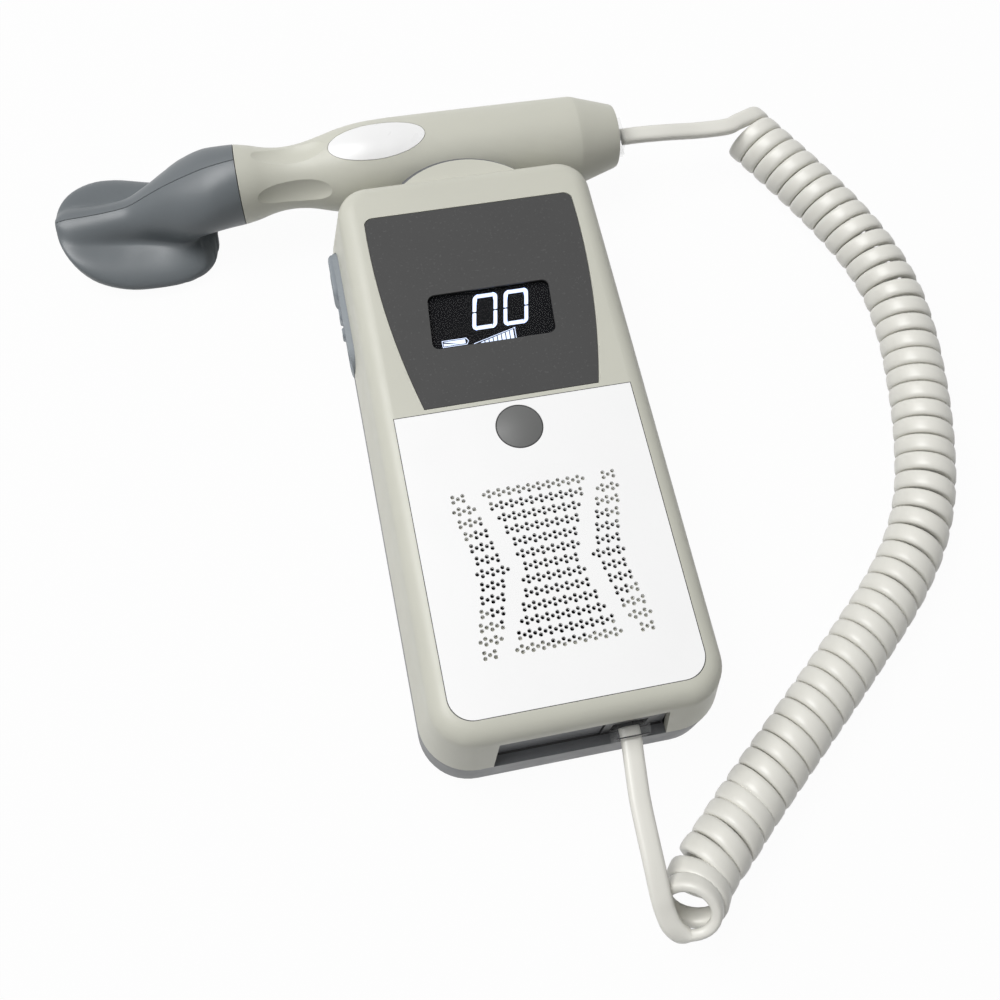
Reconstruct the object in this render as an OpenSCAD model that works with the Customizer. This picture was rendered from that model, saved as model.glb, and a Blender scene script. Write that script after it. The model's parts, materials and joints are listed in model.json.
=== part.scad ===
// Handheld vascular doppler: a display unit on its back, its probe in the cradle
// at the top end, and the curly handset cord that joins the two.
// Origin: centre of the unit's rear face. +X right, +Y towards the probe, +Z up.

/* [Case] */
// Width of the case at the seam between its two shells
case_w = 66.6; // [62:0.2:80]
// Length of the case at the seam
case_l = 142; // [138:1:160]
// Height of the case lying on its back
case_h = 32; // [31:0.5:38]
// Height of the seam above the table
seam_z = 14.4; // [13:0.1:15.5]
// Wall thickness of both shells
wall = 2; // [1.6:0.1:2.4]
// Plan radius of the corners at the jack end
corner_jack_r = 11.3; // [9:0.1:14]
// Plan radius of the corners at the probe end
corner_probe_r = 10; // [8:0.1:13]
// How far the front shell's sides lean in between seam and face
draft_in = 2.1; // [1:0.1:3]
// Rounding of the edge round the front face
face_edge_r = 4.5; // [3:0.1:5]
// Rounding of the edge round the rear face
rear_edge_r = 3.4; // [2.5:0.1:4]
// Thickness of the front face under the plate and the label
face_t = 2.8; // [2.4:0.1:3.4]

/* [Face] */
// Width of the white grille plate
plate_w = 54; // [50:0.5:56]
// Length of the grille plate
plate_l = 68.6; // [64:0.2:72]
// Thickness of the grille plate
plate_t = 1; // [0.8:0.1:1.4]
// Radius of the plate's corners at the jack end
plate_r = 5.3; // [3:0.1:8]
// Gap between the plate's lower edge and the end of the flat face
plate_edge = 0.4; // [0.3:0.1:2]
// Widest half width of the dark label
label_half_w = 25.3; // [23:0.1:26]
// Length of the label
label_l = 52; // [48:0.5:54]
// Thickness of the label
label_t = 0.5; // [0.3:0.1:0.8]
// Radius of the long curve of the label's sides
label_side_r = 190; // [150:5:400]
// Width of the display window
window_w = 28.8; // [24:0.2:32]
// Height of the display window
window_l = 14.3; // [12:0.1:17]
// Lean of the window's two short sides in degrees
window_lean = 4.5; // [0:0.5:10]
// Distance of the window's centre above the label's lower edge
window_up = 21.6; // [18:0.1:26]

/* [Grille] */
// Diameter of one hole
hole_d = 0.9; // [0.6:0.05:1]
// Step between neighbouring hole columns
hole_step = 1.1; // [1.05:0.01:1.2]
// Distance between two rows of triplets
row_step = 2.91; // [2.6:0.01:3.1]
// Half the height of one zigzag row
zig = 0.61; // [0.55:0.01:0.7]
// Distance from the plate's upper edge to the middle row
grille_down = 38.6; // [36:0.1:41]

/* [Buttons] */
// Diameter of the power button
button_d = 10.1; // [8:0.1:12]
// How far the power button stands above the plate
button_up = 0.8; // [0.3:0.1:1.5]
// Travel of the power button
button_travel = 0.8; // [0.4:0.1:1]
// Distance of the button's centre below the plate's upper edge
button_down = 6.4; // [5.5:0.1:9]
// Clearance round the power button
button_gap = 0.3; // [0.2:0.05:0.5]
// Length of the key pad on the left side
pad_l = 34; // [33:0.5:38]
// Height of the key pad
pad_h = 10; // [9:0.2:11]
// Distance of the pad's centre from the probe end of the case
pad_down = 27.3; // [25:0.1:31]
// How far the pad stands proud of the side wall
pad_up = 1.1; // [0.6:0.1:1.6]
// Travel of the side keys
key_travel = 0.6; // [0.3:0.05:0.8]
// Clearance round each side key
key_gap = 0.25; // [0.15:0.05:0.4]

/* [Jack end] */
// Width of the notch in the front shell at its top
notch_w = 36; // [34:0.5:40]
// Extra width of the notch at the seam
notch_flare = 2; // [0:0.2:3]
// Height of the notch's top edge above the table
notch_z = 27; // [26.5:0.1:27.4]
// How far the grey panel lies behind the end wall at the seam
notch_depth = 2.7; // [2.2:0.1:3.2]
// Sideways place of the jack
jack_x = 10.2; // [6:0.1:12]
// Outer width of a jack
jack_w = 11.2; // [10.8:0.1:12]
// Outer height of a jack
jack_h = 10.6; // [10:0.1:11]
// Outer length of a jack
jack_l = 12.4; // [12.2:0.1:14]
// Height of the case jack's underside above the table
jack_z = 15.6; // [15.5:0.1:15.8]

/* [Plugs] */
// Width of a handset plug
plug_w = 7.65; // [7.4:0.05:7.8]
// Height of a handset plug
plug_h = 6.6; // [6.2:0.1:6.8]
// Length of a handset plug
plug_l = 11.7; // [11:0.1:12]
// How far a seated plug stands out of its jack
plug_out = 3.1; // [2.5:0.1:4]
// Clearance of a plug in its jack
plug_gap = 0.12; // [0.1:0.01:0.15]

/* [Probe] */
// Distance of the probe's axis beyond the case's end wall
probe_out = 14.1; // [13.9:0.1:16]
// Height of the probe's axis above the table
probe_z = 16.2; // [15.6:0.1:17]
// Radius of the handle at its thickest
handle_r = 11.7; // [11:0.1:12]
// Radius of the handle's waist
waist_r = 7.8; // [7.6:0.1:9]
// Radius of the handle where it meets the head
collar_r = 9.9; // [9.2:0.1:10.5]
// Radius of the handle's end face
tail_r = 8.2; // [7.8:0.1:9]
// Distance of the head joint left of the case's centre line
joint_x = 53.5; // [52:0.5:56]
// Distance of the tail face right of the case's centre line
tail_x = 45; // [44:0.5:48]
// Wall of the handle
handle_wall = 1.8; // [1.4:0.1:1.9]
// Clearance between the handle and its cradle
cradle_gap = 0.3; // [0.2:0.05:0.5]
// Depth of the finger dimples in the waist
dimple_deep = 0.7; // [0.3:0.1:0.9]

/* [Head] */
// Distance from the handle joint to the paddle's widest line
neck_reach = 26.5; // [25:0.5:29]
// Distance from the widest line to the tip of the toe
toe_reach = 21.3; // [19:0.1:23]
// Distance from the widest line to the heel under the neck
heel_reach = 18.5; // [17:0.1:19.5]
// Width of the paddle
paddle_w = 35.8; // [33:0.2:38]
// Height of the paddle's rim above the table
rim_z = 2.4; // [2.2:0.1:3]
// Height of the tip of the rising toe above the table
toe_z = 8.6; // [6:0.1:10]
// Height of the paddle's crown above its rim
crown_h = 4.8; // [4.4:0.1:6]
// Softness of the blend between neck and paddle
blend_r = 6; // [3:0.5:8]
// Gap between the resting head and the table
head_up = 0.5; // [0.3:0.1:0.8]
// Diameter of the contact face
face_d = 26; // [22:0.5:26]
// Thickness of the contact face
lens_t = 2; // [1.5:0.1:2.2]

/* [Cord] */
// Width of the flat cord
cord_w = 4.2; // [3.8:0.1:4.2]
// Thickness of the flat cord
cord_t = 2.4; // [2:0.1:2.6]
// Outer diameter of the curly part
coil_d = 14.4; // [13.5:0.1:15]
// Pitch of the curls on the inside of a bend
curl_pitch = 4.64; // [4.64:0.01:4.8]

/* [Hidden] */
$fn = 64;
eps = 0.01;
// Clearance between fixed pieces that sit in each other
seat = 0.15;

// Case, worked out from its outer size
half_w = case_w / 2;
half_l = case_l / 2;
edge_z = case_h - face_edge_r;
face_in = draft_in + face_edge_r;
inner_top = case_h - face_t;
floor_t = 2.2;
lip_h = 1.4;
lip_t = 0.9;

// Face
plate_y0 = -half_l + face_in + plate_edge;
plate_y1 = plate_y0 + plate_l;
plate_z = case_h - plate_t;
label_y0 = plate_y1 + 1.3;
label_y1 = label_y0 + label_l;
label_z = case_h - label_t;
window_y = label_y0 + window_up;
window_x = -0.4;
button_y = plate_y1 - button_down;
lens_t0 = 0.8;
lens_edge = 1;
display_t = 3.1;
display_edge = 2.5;
flange_t = 1.5;
flange_edge = 1.1;
switch_t = 4;

// Grille: columns either side of the middle one in each row, and the rows
// whose pairs and singles change places
grille_y = plate_y1 - grille_down;
row_cols = [10, 9, 8, 7, 6, 6, 5, 6, 6, 7, 8, 9, 10];
swapped_rows = [4, 8];
middle_row = 6;
// Side strips: columns either side of each strip's own middle
strip_cols = [1, 2, 2, 2, 2, 2, 3, 2, 2, 2, 2, 2, 1];
strip_single_ends = [1, 6, 11];
strip_x = 12.6;

// Boards and batteries
board_t = 1.6;
board_z = 17.6;
// Gap from the main board's sides to the case's sides at the seam
board_edge = 5.3;
board_w = case_w - 2 * board_edge;
board_y0 = -half_l + 17;
board_y1 = half_l - 20;
cell_d = 14.5;
cell_l = 50.5;
cell_z = 2.4 + cell_d / 2;
cell_gap = 0.6;
contact_w = 10;
contact_t = 0.4;
bay_len = cell_l + 5;
bay_y1 = half_l - 7.5;
bay_y0 = bay_y1 - bay_len;
bay_w = 2 * cell_d + cell_gap + 1;
bay_wall = 1.2;
door_w = bay_w + 4;
door_l = bay_len + 3;
door_t = 1.8;
door_up = 0.2;
door_gap = 0.3;
door_travel = 4;
door_y1 = bay_y1 + 2;
door_y0 = door_y1 - door_l;
frame_t = 3.4;
tongue_l = 2.4;
tongue_t = 0.9;
tongue_w = 6;
screw_x = half_w - 8;
screw_y = half_l - 13.5;
post_r = 3.1;
boss_r = 3.4;
screw_r = 1.25;
screw_head_r = 2.6;
screw_head_t = 2;
screw_sink = 0.7;
screw_l = 11;
boss_top = seam_z - 1.4;
column_r = 2.6;
column_x = board_w / 2 - 3.4;
columns_y = [board_y0 + 5, board_y1 - 30];

// Speaker under the grille
speaker_r = 18.6;
speaker_rim_t = 1.4;
cone_r = 15.6;
magnet_r = 9;
magnet_gap = 0.45;
// The basket and the magnet share the height between the front face and the main board
speaker_h = inner_top - seat - board_z - board_t - magnet_gap;
basket_h = 0.66 * speaker_h;
magnet_t = speaker_h - basket_h;
cone_deep = basket_h - 3.4;

// Key pad on the left wall
pad_y = half_l - pad_down;
pad_z = seam_z;
pad_in = 3.5;
pad_flange = 0.7;
key_out = 1.1;
key_list = [[9.5, 6.4, 1.15], [-0.5, 2.2, 0.5], [-5.6, 1.7, 0.5]];
key_ring = 1.1;
key_board_t = 1.2;
key_switch_t = 1.2;

// Jack end
panel_t = 1.8;
panel_y = -half_l + notch_depth;
bezel_gap = 0.2;
plug_floor = 1.1;
plug_mid = plug_floor + plug_h / 2;
plug_in = plug_l - plug_out;
// Space between the plug's nose and the jack's back wall, with the wires in it
pin_room = 1.6;
latch_w = 3.2;
pin_r = 0.23;
pin_step = 1.02;

// Probe: its axis runs along X
axis_y = half_l + probe_out;
ear_r = 21.5;
ear_z = case_h - 2;
ear_t = 2;
ear_reach = 2.1;
cradle_r = 22.2;
cradle_reach = 4.1;
cradle_top = ear_z - ear_t - 0.1;
cradle_bottom = 4;
cradle_half = 14;
bore_r = handle_r - handle_wall - 0.5;
spigot_r = waist_r - handle_wall - 0.1;
spigot_l = 5;
paddle_x = -joint_x - neck_reach;
toe_x = paddle_x - toe_reach;
heel_x = paddle_x + heel_reach;
toe_start = paddle_x - 4;
sole_end = paddle_x - face_d / 2;
// The far side's rim is a little narrower towards the heel
far_trim = 0.12;
crystal_t = 1;
crystal_r = face_d / 2 - 3;
crystal_gap = 0.8;
tail_wall = 0.6;
tail_jack_r = 7.3;
badge_w = 24.5;
badge_h = 10.5;
badge_x = -18;
badge_t = 0.3;
badge_turn = 2;
handle_board_z = probe_z - 2.8;

// Cord
coil_r = (coil_d - cord_t) / 2;
rings_per_curl = 8;
// Middle line of the curly part on the table: x, y and how far its curls are lifted. The stiff
// lead holds up the last three, which fan open below.
coil_route = [
    [85, 88, 0], [91, 77.5, 0], [97, 66.5, 0], [102.3, 55.5, 0], [106.6, 44, 0], [109, 32, 0],
    [109, 20, 0], [107.4, 8, 0], [105, -4, 0], [102, -15, 0], [98, -26, 0], [92, -36.5, 0],
    [84, -46, 0], [75, -54.5, 0], [64, -64, 0], [52, -74, 0], [40, -84, 0], [31, -91.6, 0],
    [25.4, -96.8, 0.2], [20.6, -101.4, 1.7], [17.3, -105.2, 4.6], [15.7, -107.8, 8.4]
];
// Flat leads: x, y, height and the direction that the broad face looks
case_exit = [jack_x, panel_y - plug_out, jack_z + plug_mid - 0.4];
probe_exit = [tail_x - tail_wall + plug_out, axis_y, probe_z - jack_h / 2 + plug_mid];

function mix(a, b, t) = a + (b - a) * t;
function unit(v) = v / norm(v);
function clamp(v, low = 0, high = 1) = max(low, min(high, v));
function ease(v) = let (t = clamp(v)) t * t * (3 - 2 * t);
function spline_at(a, b, c, d, t) =
    0.5 * (2 * b + (c - a) * t + (2 * a - 5 * b + 4 * c - d) * t * t + (3 * b - a - 3 * c + d) * t * t * t);
// Smooth curve through hand-placed points of any length, with a number of steps between two
function spline(p, steps) =
    let (last = len(p) - 1, q = concat([2 * p[0] - p[1]], p, [2 * p[last] - p[last - 1]]))
    [for (i = [0:last - 1], k = [0:steps - 1]) spline_at(q[i], q[i + 1], q[i + 2], q[i + 3], k / steps),
     p[last]];
function place(v) = [v[0], v[1], v[2]];
// Running length along a list of points
function lengths(p, i = 1, sum = 0, out = [0]) =
    i >= len(p) ? out
    : let (s = sum + norm(place(p[i]) - place(p[i - 1]))) lengths(p, i + 1, s, concat(out, [s]));
function sums(v, i = 0, sum = 0, out = []) =
    i >= len(v) ? out : sums(v, i + 1, sum + v[i], concat(out, [sum + v[i]]));
function arc(x, y, r, from, to, n) =
    [for (i = [0:n]) let (a = mix(from, to, i / n)) [x + r * cos(a), y + r * sin(a)]];
// Rectangle with one corner radius at the low end and another at the high end
function round_plan(w, l, r_low, r_high, n = 12) =
    let (x = w / 2, y = l / 2)
    concat(arc(x - r_low, r_low - y, r_low, -90, 0, n), arc(x - r_high, y - r_high, r_high, 0, 90, n),
           arc(r_high - x, y - r_high, r_high, 90, 180, n), arc(r_low - x, r_low - y, r_low, 180, 270, n));
function case_plan(inset) =
    round_plan(case_w - 2 * inset, case_l - 2 * inset,
               max(corner_jack_r - inset, 1), max(corner_probe_r - inset, 1));
function lift(plan, z) = [for (p = plan) [p[0], p[1], z]];
function lean(z) = draft_in * max(0, min(1, (z - seam_z) / (edge_z - seam_z)));

// Closed skin over rings of points that all turn the same way
module loft(rings) {
    n = len(rings[0]);
    m = len(rings);
    skin = [
        for (i = [0:m - 2], j = [0:n - 1])
            let (a = i * n + j, b = i * n + (j + 1) % n)
                each [[a, a + n, b], [b, a + n, b + n]]
    ];
    low = [for (j = [0:n - 1]) j];
    high = [for (j = [n - 1:-1:0]) (m - 1) * n + j];
    polyhedron([for (ring = rings) each ring], concat([low], skin, [high]), convexity = 8);
}

module case_prism(inset, z0, z1) {
    translate([0, 0, z0])
        linear_extrude(z1 - z0)
            polygon(case_plan(inset));
}

// Front of the case from the seam to the face, moved inwards by an inset
module front_body(inset, bottom, top) {
    r = max(face_edge_r - inset, 1.5);
    loft(concat(
        [lift(case_plan(inset), bottom)],
        [lift(case_plan(inset), seam_z)],
        [for (a = [0:15:90])
            lift(case_plan(inset + draft_in + r * (1 - cos(a))), top - r * (1 - sin(a)))]
    ));
}

// Rear of the case from the table to the seam, moved inwards by an inset
module rear_body(inset, bottom, top) {
    r = max(rear_edge_r - inset, 1);
    loft(concat(
        [for (a = [90:-18:0])
            lift(case_plan(inset + r * (1 - cos(a))), bottom + r * (1 - sin(a)))],
        [lift(case_plan(inset), top)]
    ));
}

module tube(r, inner, h) {
    difference() {
        cylinder(r = r, h = h);
        translate([0, 0, -eps])
            cylinder(r = inner, h = h + 2 * eps);
    }
}

module at_screws() {
    for (x = [-1, 1], y = [-1, 1])
        translate([x * screw_x, y * screw_y, 0])
            children();
}

module at_columns() {
    for (x = [-1, 1], y = columns_y)
        translate([x * column_x, y, 0])
            children();
}

// Window, leaning to the right as it goes up, grown by an edge
module window_plan(edge = 0) {
    w = window_w / 2 + edge;
    l = window_l / 2 + edge;
    s = l * tan(window_lean);
    translate([window_x, window_y])
        polygon([[-w - s, -l], [w - s, -l], [w + s, l], [-w + s, l]]);
}

module label_plan(grow = 0) {
    r = label_side_r;
    w = label_half_w + grow;
    bulge_y = label_y1 - 7;
    corner = 2.2;
    intersection() {
        union() {
            translate([-w, label_y0 - grow])
                square([2 * w, label_l - corner + grow]);
            translate([-w + corner, label_y0])
                square([2 * (w - corner), label_l + grow]);
            for (x = [-1, 1])
                translate([x * (w - corner), label_y1 - corner + grow])
                    circle(r = corner, $fn = 32);
        }
        for_side(-1) translate([w - r, bulge_y]) circle(r = r, $fn = 256);
        for_side(1) translate([w - r, bulge_y]) circle(r = r, $fn = 256);
    }
}

module for_side(side) {
    if (side < 0)
        mirror([1, 0])
            children();
    else
        children();
}

module plate_plan(grow = 0) {
    w = plate_w / 2 + grow;
    y0 = plate_y0 - grow;
    y1 = plate_y1 + grow;
    translate([-w, y0 + plate_r])
        square([2 * w, y1 - y0 - plate_r]);
    translate([-w + plate_r, y0])
        square([2 * (w - plate_r), y1 - y0]);
    for (x = [-1, 1])
        translate([x * (w - plate_r), y0 + plate_r])
            circle(r = plate_r, $fn = 32);
}

// Opening in the end wall: wider at the seam than at its top
module notch_plan(grow = 0) {
    top = notch_w / 2 + grow;
    low = top + notch_flare / 2;
    polygon([[-low, seam_z - 3], [low, seam_z - 3], [low, seam_z], [top, notch_z + grow],
             [-top, notch_z + grow], [-low, seam_z]]);
}

module notch_cut(grow, y0, y1) {
    translate([0, y1, 0])
        rotate([90, 0, 0])
            linear_extrude(y1 - y0)
                notch_plan(grow);
}

// Rounded slot of the key pad, seen from the left
module pad_plan(grow = 0) {
    r = pad_h / 2 + grow;
    half = pad_l / 2 - pad_h / 2;
    for (y = [-half, half])
        translate([pad_y + y, pad_z])
            circle(r = r, $fn = 48);
    translate([pad_y - half, pad_z - r])
        square([2 * half, 2 * r]);
}

// Extrudes a plan drawn in Y and Z along X
module along_x(x0, x1) {
    translate([x0, 0, 0])
        rotate([90, 0, 90])
            linear_extrude(x1 - x0)
                children();
}

module cradle_plan(r, reach, back) {
    intersection() {
        translate([0, half_l + reach - r])
            circle(r = r, $fn = 96);
        translate([-cradle_half, half_l - back])
            square([2 * cradle_half, reach + back + 1]);
    }
}

module probe_space(grow) {
    translate([-cradle_half - 10, axis_y, probe_z])
        rotate([0, 90, 0])
            cylinder(r = handle_r + grow, h = 2 * cradle_half + 20, $fn = 96);
}

module front_shell() {
    color("#cfcfc3") {
        difference() {
            front_body(0, seam_z, case_h);
            front_body(wall, seam_z - 1, inner_top);
            translate([0, 0, plate_z - seat])
                linear_extrude(plate_t + 1)
                    plate_plan(seat);
            translate([0, 0, label_z])
                linear_extrude(label_t + 1)
                    label_plan(seat);
            translate([0, 0, inner_top - 1])
                linear_extrude(face_t + 2)
                    window_plan(lens_edge);
            translate([0, button_y, inner_top - 1])
                cylinder(d = button_d + 2 * button_gap, h = face_t + 2);
            translate([0, grille_y, inner_top - 1])
                cylinder(r = speaker_r - 1.2, h = face_t + 2, $fn = 96);
            notch_cut(0, -half_l - 1, -half_l + face_in - 1);
            translate([jack_x - jack_w / 2 - seat, panel_y, jack_z])
                cube([jack_w + 2 * seat, jack_l + seat, jack_h + seat]);
            translate([0, 0, seam_z - 1])
                linear_extrude(cradle_top + 0.1 - seam_z + 1)
                    translate([-cradle_half - bezel_gap, half_l - face_in])
                        square([2 * (cradle_half + bezel_gap), face_in + 1]);
            along_x(-half_w - 1, -half_w + face_in + 1)
                pad_plan(bezel_gap);
        }
        ear();
        difference() {
            at_screws()
                translate([0, 0, boss_top + 0.1])
                    cylinder(r = post_r, h = inner_top - boss_top);
            at_screws()
                cylinder(r = screw_r + 0.1, h = boss_top + screw_l);
        }
    }
}

// Round lip over the cradle that keeps the probe down
module ear() {
    difference() {
        translate([0, 0, ear_z - ear_t])
            linear_extrude(ear_t)
                cradle_plan(ear_r, ear_reach, face_in);
        probe_space(cradle_gap);
    }
}

module rear_shell() {
    color("#5c6167") {
        difference() {
            union() {
                difference() {
                    rear_body(0, 0, seam_z);
                    rear_body(wall, floor_t, seam_z + 1);
                }
                lip();
                notch_panel();
                cradle();
                battery_bay();
                at_screws()
                    cylinder(r = boss_r, h = boss_top);
            }
            at_screws() {
                translate([0, 0, -1])
                    cylinder(r = screw_r + 0.35, h = boss_top + 2);
                translate([0, 0, -1])
                    cylinder(r = screw_head_r + 0.2, h = screw_sink + screw_head_t + 1);
            }
            door_space();
            along_x(-half_w - 1, -half_w + wall + 3)
                pad_plan(bezel_gap);
        }
        at_columns()
            translate([0, 0, 1])
                cylinder(r = column_r, h = board_z - 1);
    }
}

// Thin rim inside the seam that locates the front shell
module lip() {
    difference() {
        case_prism(wall - eps, seam_z - 2.2, seam_z + lip_h);
        case_prism(wall + lip_t + seat, seam_z - 3, seam_z + lip_h + 1);
        difference() {
            case_prism(0, seam_z, seam_z + lip_h + 1);
            case_prism(wall + seat + 0.25, seam_z - 1, seam_z + lip_h + 2);
        }
        notch_cut(0.4, -half_l - 1, -half_l + face_in);
        translate([-cradle_half - 1, half_l - 6, seam_z])
            cube([2 * cradle_half + 2, 7, 5]);
    }
}

// Grey wall that closes the notch, with the opening for the jack
module notch_panel() {
    shelf_half = (notch_w + notch_flare) / 2 - bezel_gap;
    difference() {
        notch_cut(-bezel_gap, panel_y, panel_y + panel_t);
        translate([jack_x - jack_w / 2 - seat, panel_y - 1, jack_z - seat])
            cube([jack_w + 2 * seat, panel_t + 2, jack_h + 2 * seat]);
    }
    translate([-shelf_half, -half_l + wall - 0.1, seam_z - 3])
        cube([2 * shelf_half, panel_y + panel_t + half_l - wall + 0.1, 3]);
}

// Trough for the probe, carried by the end wall
module cradle() {
    difference() {
        translate([0, 0, cradle_bottom])
            linear_extrude(cradle_top - cradle_bottom)
                cradle_plan(cradle_r, cradle_reach, wall);
        probe_space(cradle_gap);
    }
}

module battery_bay() {
    x0 = bay_w / 2 + bay_wall;
    difference() {
        union() {
            translate([-door_w / 2 - 2.4, door_y0 - door_travel - 2, 1])
                cube([door_w + 4.8, door_l + door_travel + 4 + tongue_l, frame_t - 1]);
            translate([-x0, bay_y0 - bay_wall, 1])
                cube([2 * x0, bay_len + 2 * bay_wall, cell_z + 3 - 1]);
        }
        translate([-bay_w / 2, bay_y0, -1])
            cube([bay_w, bay_len, 40]);
    }
}

// Recess for the battery door, with room for its travel
module door_space() {
    translate([-door_w / 2 - door_gap, door_y0 - door_travel - door_gap, -1])
        cube([door_w + 2 * door_gap, door_l + door_travel + 2 * door_gap, door_up + door_t + 1.1]);
    for (x = [-1, 1])
        translate([x * door_w / 3 - tongue_w / 2 - door_gap, door_y1, door_up + door_t - tongue_t - 0.1])
            cube([tongue_w + 2 * door_gap, tongue_l + door_gap, tongue_t + 0.2]);
}

module battery_door() {
    color("#54595f") {
        difference() {
            translate([-door_w / 2, door_y0, door_up])
                cube([door_w, door_l, door_t]);
            for (i = [0:4])
                translate([-door_w / 4, door_y0 + 5 + i * 2.2, door_up - eps])
                    cube([door_w / 2, 1.1, 0.5]);
        }
        for (x = [-1, 1])
            translate([x * door_w / 3 - tongue_w / 2, door_y1 - 1, door_up + door_t - tongue_t])
                cube([tongue_w, tongue_l + 1, tongue_t]);
    }
}

// One zigzag row: singles on the line, pairs above and below it
module zigzag(x, y, cols, pairs_on_even) {
    for (k = [-cols:cols])
        for (s = abs(k) % 2 == (pairs_on_even ? 0 : 1) ? [-1, 1] : [0])
            translate([x + k * hole_step, y + s * zig])
                circle(d = hole_d, $fn = 16);
}

module holes_plan() {
    for (i = [0:len(row_cols) - 1]) {
        y = grille_y + (middle_row - i) * row_step;
        far = abs(i - middle_row);
        swapped = len(search(i, swapped_rows)) > 0;
        single_ends = len(search(i, strip_single_ends)) > 0;
        zigzag(0, y, row_cols[i], swapped);
        for (side = [-1, 1])
            zigzag(side * (strip_x + 0.53 * far + 0.025 * far * far), y, strip_cols[i],
                   (strip_cols[i] % 2 == 0) != single_ends);
    }
}

module grille_plate() {
    color("white")
        translate([0, 0, plate_z])
            linear_extrude(plate_t)
                difference() {
                    plate_plan();
                    translate([0, button_y])
                        circle(d = button_d + 2 * button_gap);
                    holes_plan();
                }
}

module face_label() {
    color("#505152")
        translate([0, 0, label_z])
            linear_extrude(label_t - 0.02)
                difference() {
                    label_plan();
                    window_plan();
                }
}

module display_lens() {
    color("#202428", 0.5)
        translate([0, 0, label_z - lens_t0 - 0.02])
            linear_extrude(lens_t0)
                window_plan(lens_edge - seat);
}

module display_module() {
    top = label_z - lens_t0 - 0.1;
    color("#101112") {
        translate([0, 0, inner_top - 0.1 - 1.4])
            linear_extrude(1.4)
                window_plan(display_edge);
        translate([0, 0, inner_top - 0.2])
            linear_extrude(top - inner_top + 0.2)
                window_plan(lens_edge - 2 * seat);
        for (x = [-1, 1])
            translate([x * 12 - 1, window_y - 1, board_z + board_t])
                cube([2, 2, inner_top - 1.5 - board_z - board_t + 0.2]);
    }
}

module main_board() {
    color("#1f6b3a")
        difference() {
            union() {
                translate([-board_w / 2, board_y0, board_z])
                    cube([board_w, board_y1 - board_y0, board_t]);
                translate([-18, 38, board_z + board_t - 0.1])
                    cube([12, 12, 1.7]);
                translate([4, 40, board_z + board_t - 0.1])
                    cube([7, 7, 1.3]);
                for (i = [0:4])
                    translate([-22 + i * 9, 10, board_z + board_t - 0.1])
                        cube([3.2, 1.8, 1.1]);
            }
            at_columns()
                cylinder(r = 1.3, h = 40);
        }
}

module board_screws() {
    color("silver")
        at_columns()
            translate([0, 0, board_z + board_t + 0.05])
                cylinder(r = 2.3, h = 1.6);
}

module power_switch() {
    top = inner_top - flange_t - switch_gap();
    color("#222222") {
        translate([-3, button_y - 3, board_z + board_t + 0.02])
            cube([6, 6, switch_t]);
        translate([0, button_y, board_z + board_t + switch_t - 0.1])
            cylinder(r = 1.7, h = 1);
    }
}

function switch_gap() = button_travel + 0.1;

module power_button() {
    low = inner_top - 0.15 - flange_t;
    switch_top = board_z + board_t + switch_t + 0.9;
    color("#6f726f") {
        translate([0, button_y, low])
            cylinder(d = button_d + 2 * flange_edge, h = flange_t);
        translate([0, button_y, low])
            cylinder(d = button_d, h = case_h - low);
        translate([0, button_y, case_h])
            dome(button_d / 2, button_up);
        translate([0, button_y, switch_top + switch_gap()])
            cylinder(r = 2, h = low - switch_top - switch_gap() + eps);
    }
}

// Cap of a sphere with a given rim radius and height
module dome(rim, h) {
    r = (rim * rim + h * h) / (2 * h);
    intersection() {
        translate([0, 0, h - r])
            sphere(r = r, $fn = 128);
        translate([0, 0, -eps])
            cylinder(r = rim, h = h + 1);
    }
}

module speaker_basket() {
    seat_r = cone_r + 0.1;
    color("#3a3a3c")
        translate([0, grille_y, inner_top - 0.1])
            difference() {
                rotate_extrude($fn = 96)
                    polygon([[0, -basket_h], [magnet_r + 1.4, -basket_h], [speaker_r - 1.2, -2.8],
                             [speaker_r - 1.2, -speaker_rim_t], [speaker_r, -speaker_rim_t],
                             [speaker_r, 0],
                             [seat_r, 0], [seat_r, -2.3], [magnet_r + 0.4, 1 - basket_h],
                             [0, 1 - basket_h]]);
                for (a = [45:90:315])
                    rotate([0, 0, a])
                        translate([magnet_r, -3.5, 1.3 - basket_h])
                            cube([12, 7, basket_h - 3.8]);
            }
}

module speaker_cone() {
    color("#1c1c1e")
        translate([0, grille_y, inner_top - 0.1 - speaker_rim_t])
            rotate_extrude()
                polygon([[0, 1.6 - cone_deep], [4.5, 0.6 - cone_deep], [cone_r - 2.4, 0],
                         [cone_r - 1.2, 0.7], [cone_r, 0.2], [cone_r, -0.3], [cone_r - 1.4, 0],
                         [cone_r - 2.6, -0.6], [4.4, -cone_deep], [0, 1 - cone_deep]]);
}

module speaker_magnet() {
    color("#8d9094")
        translate([0, grille_y, inner_top - seat - speaker_h])
            cylinder(r = magnet_r, h = magnet_t);
}

// Outline of one side key: place along the pad, half length and height
module key_plan(key, grow = 0) {
    half = max(key[1] - pad_h / 2 + key_ring + 1, 0);
    r = min(pad_h / 2 - key_ring, key[1]) + grow;
    for (y = [-half, half])
        translate([pad_y + key[0] + y, pad_z])
            circle(r = r, $fn = 40);
    translate([pad_y + key[0] - half, pad_z - r])
        square([2 * half + eps, 2 * r]);
}

module key_pad() {
    color("#828a92")
        difference() {
            union() {
                along_x(-half_w - pad_up, -half_w + pad_in)
                    pad_plan();
                along_x(key_back() - pad_flange, key_back())
                    pad_plan(1);
            }
            for (key = key_list)
                along_x(-half_w - pad_up - 1, -half_w + pad_in + 2)
                    key_plan(key, key_gap);
            along_x(-half_w - pad_up - 1, -half_w - pad_up + 0.5)
                translate([pad_y - 13.1, pad_z])
                    circle(r = 2.4, $fn = 40);
        }
}

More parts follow.
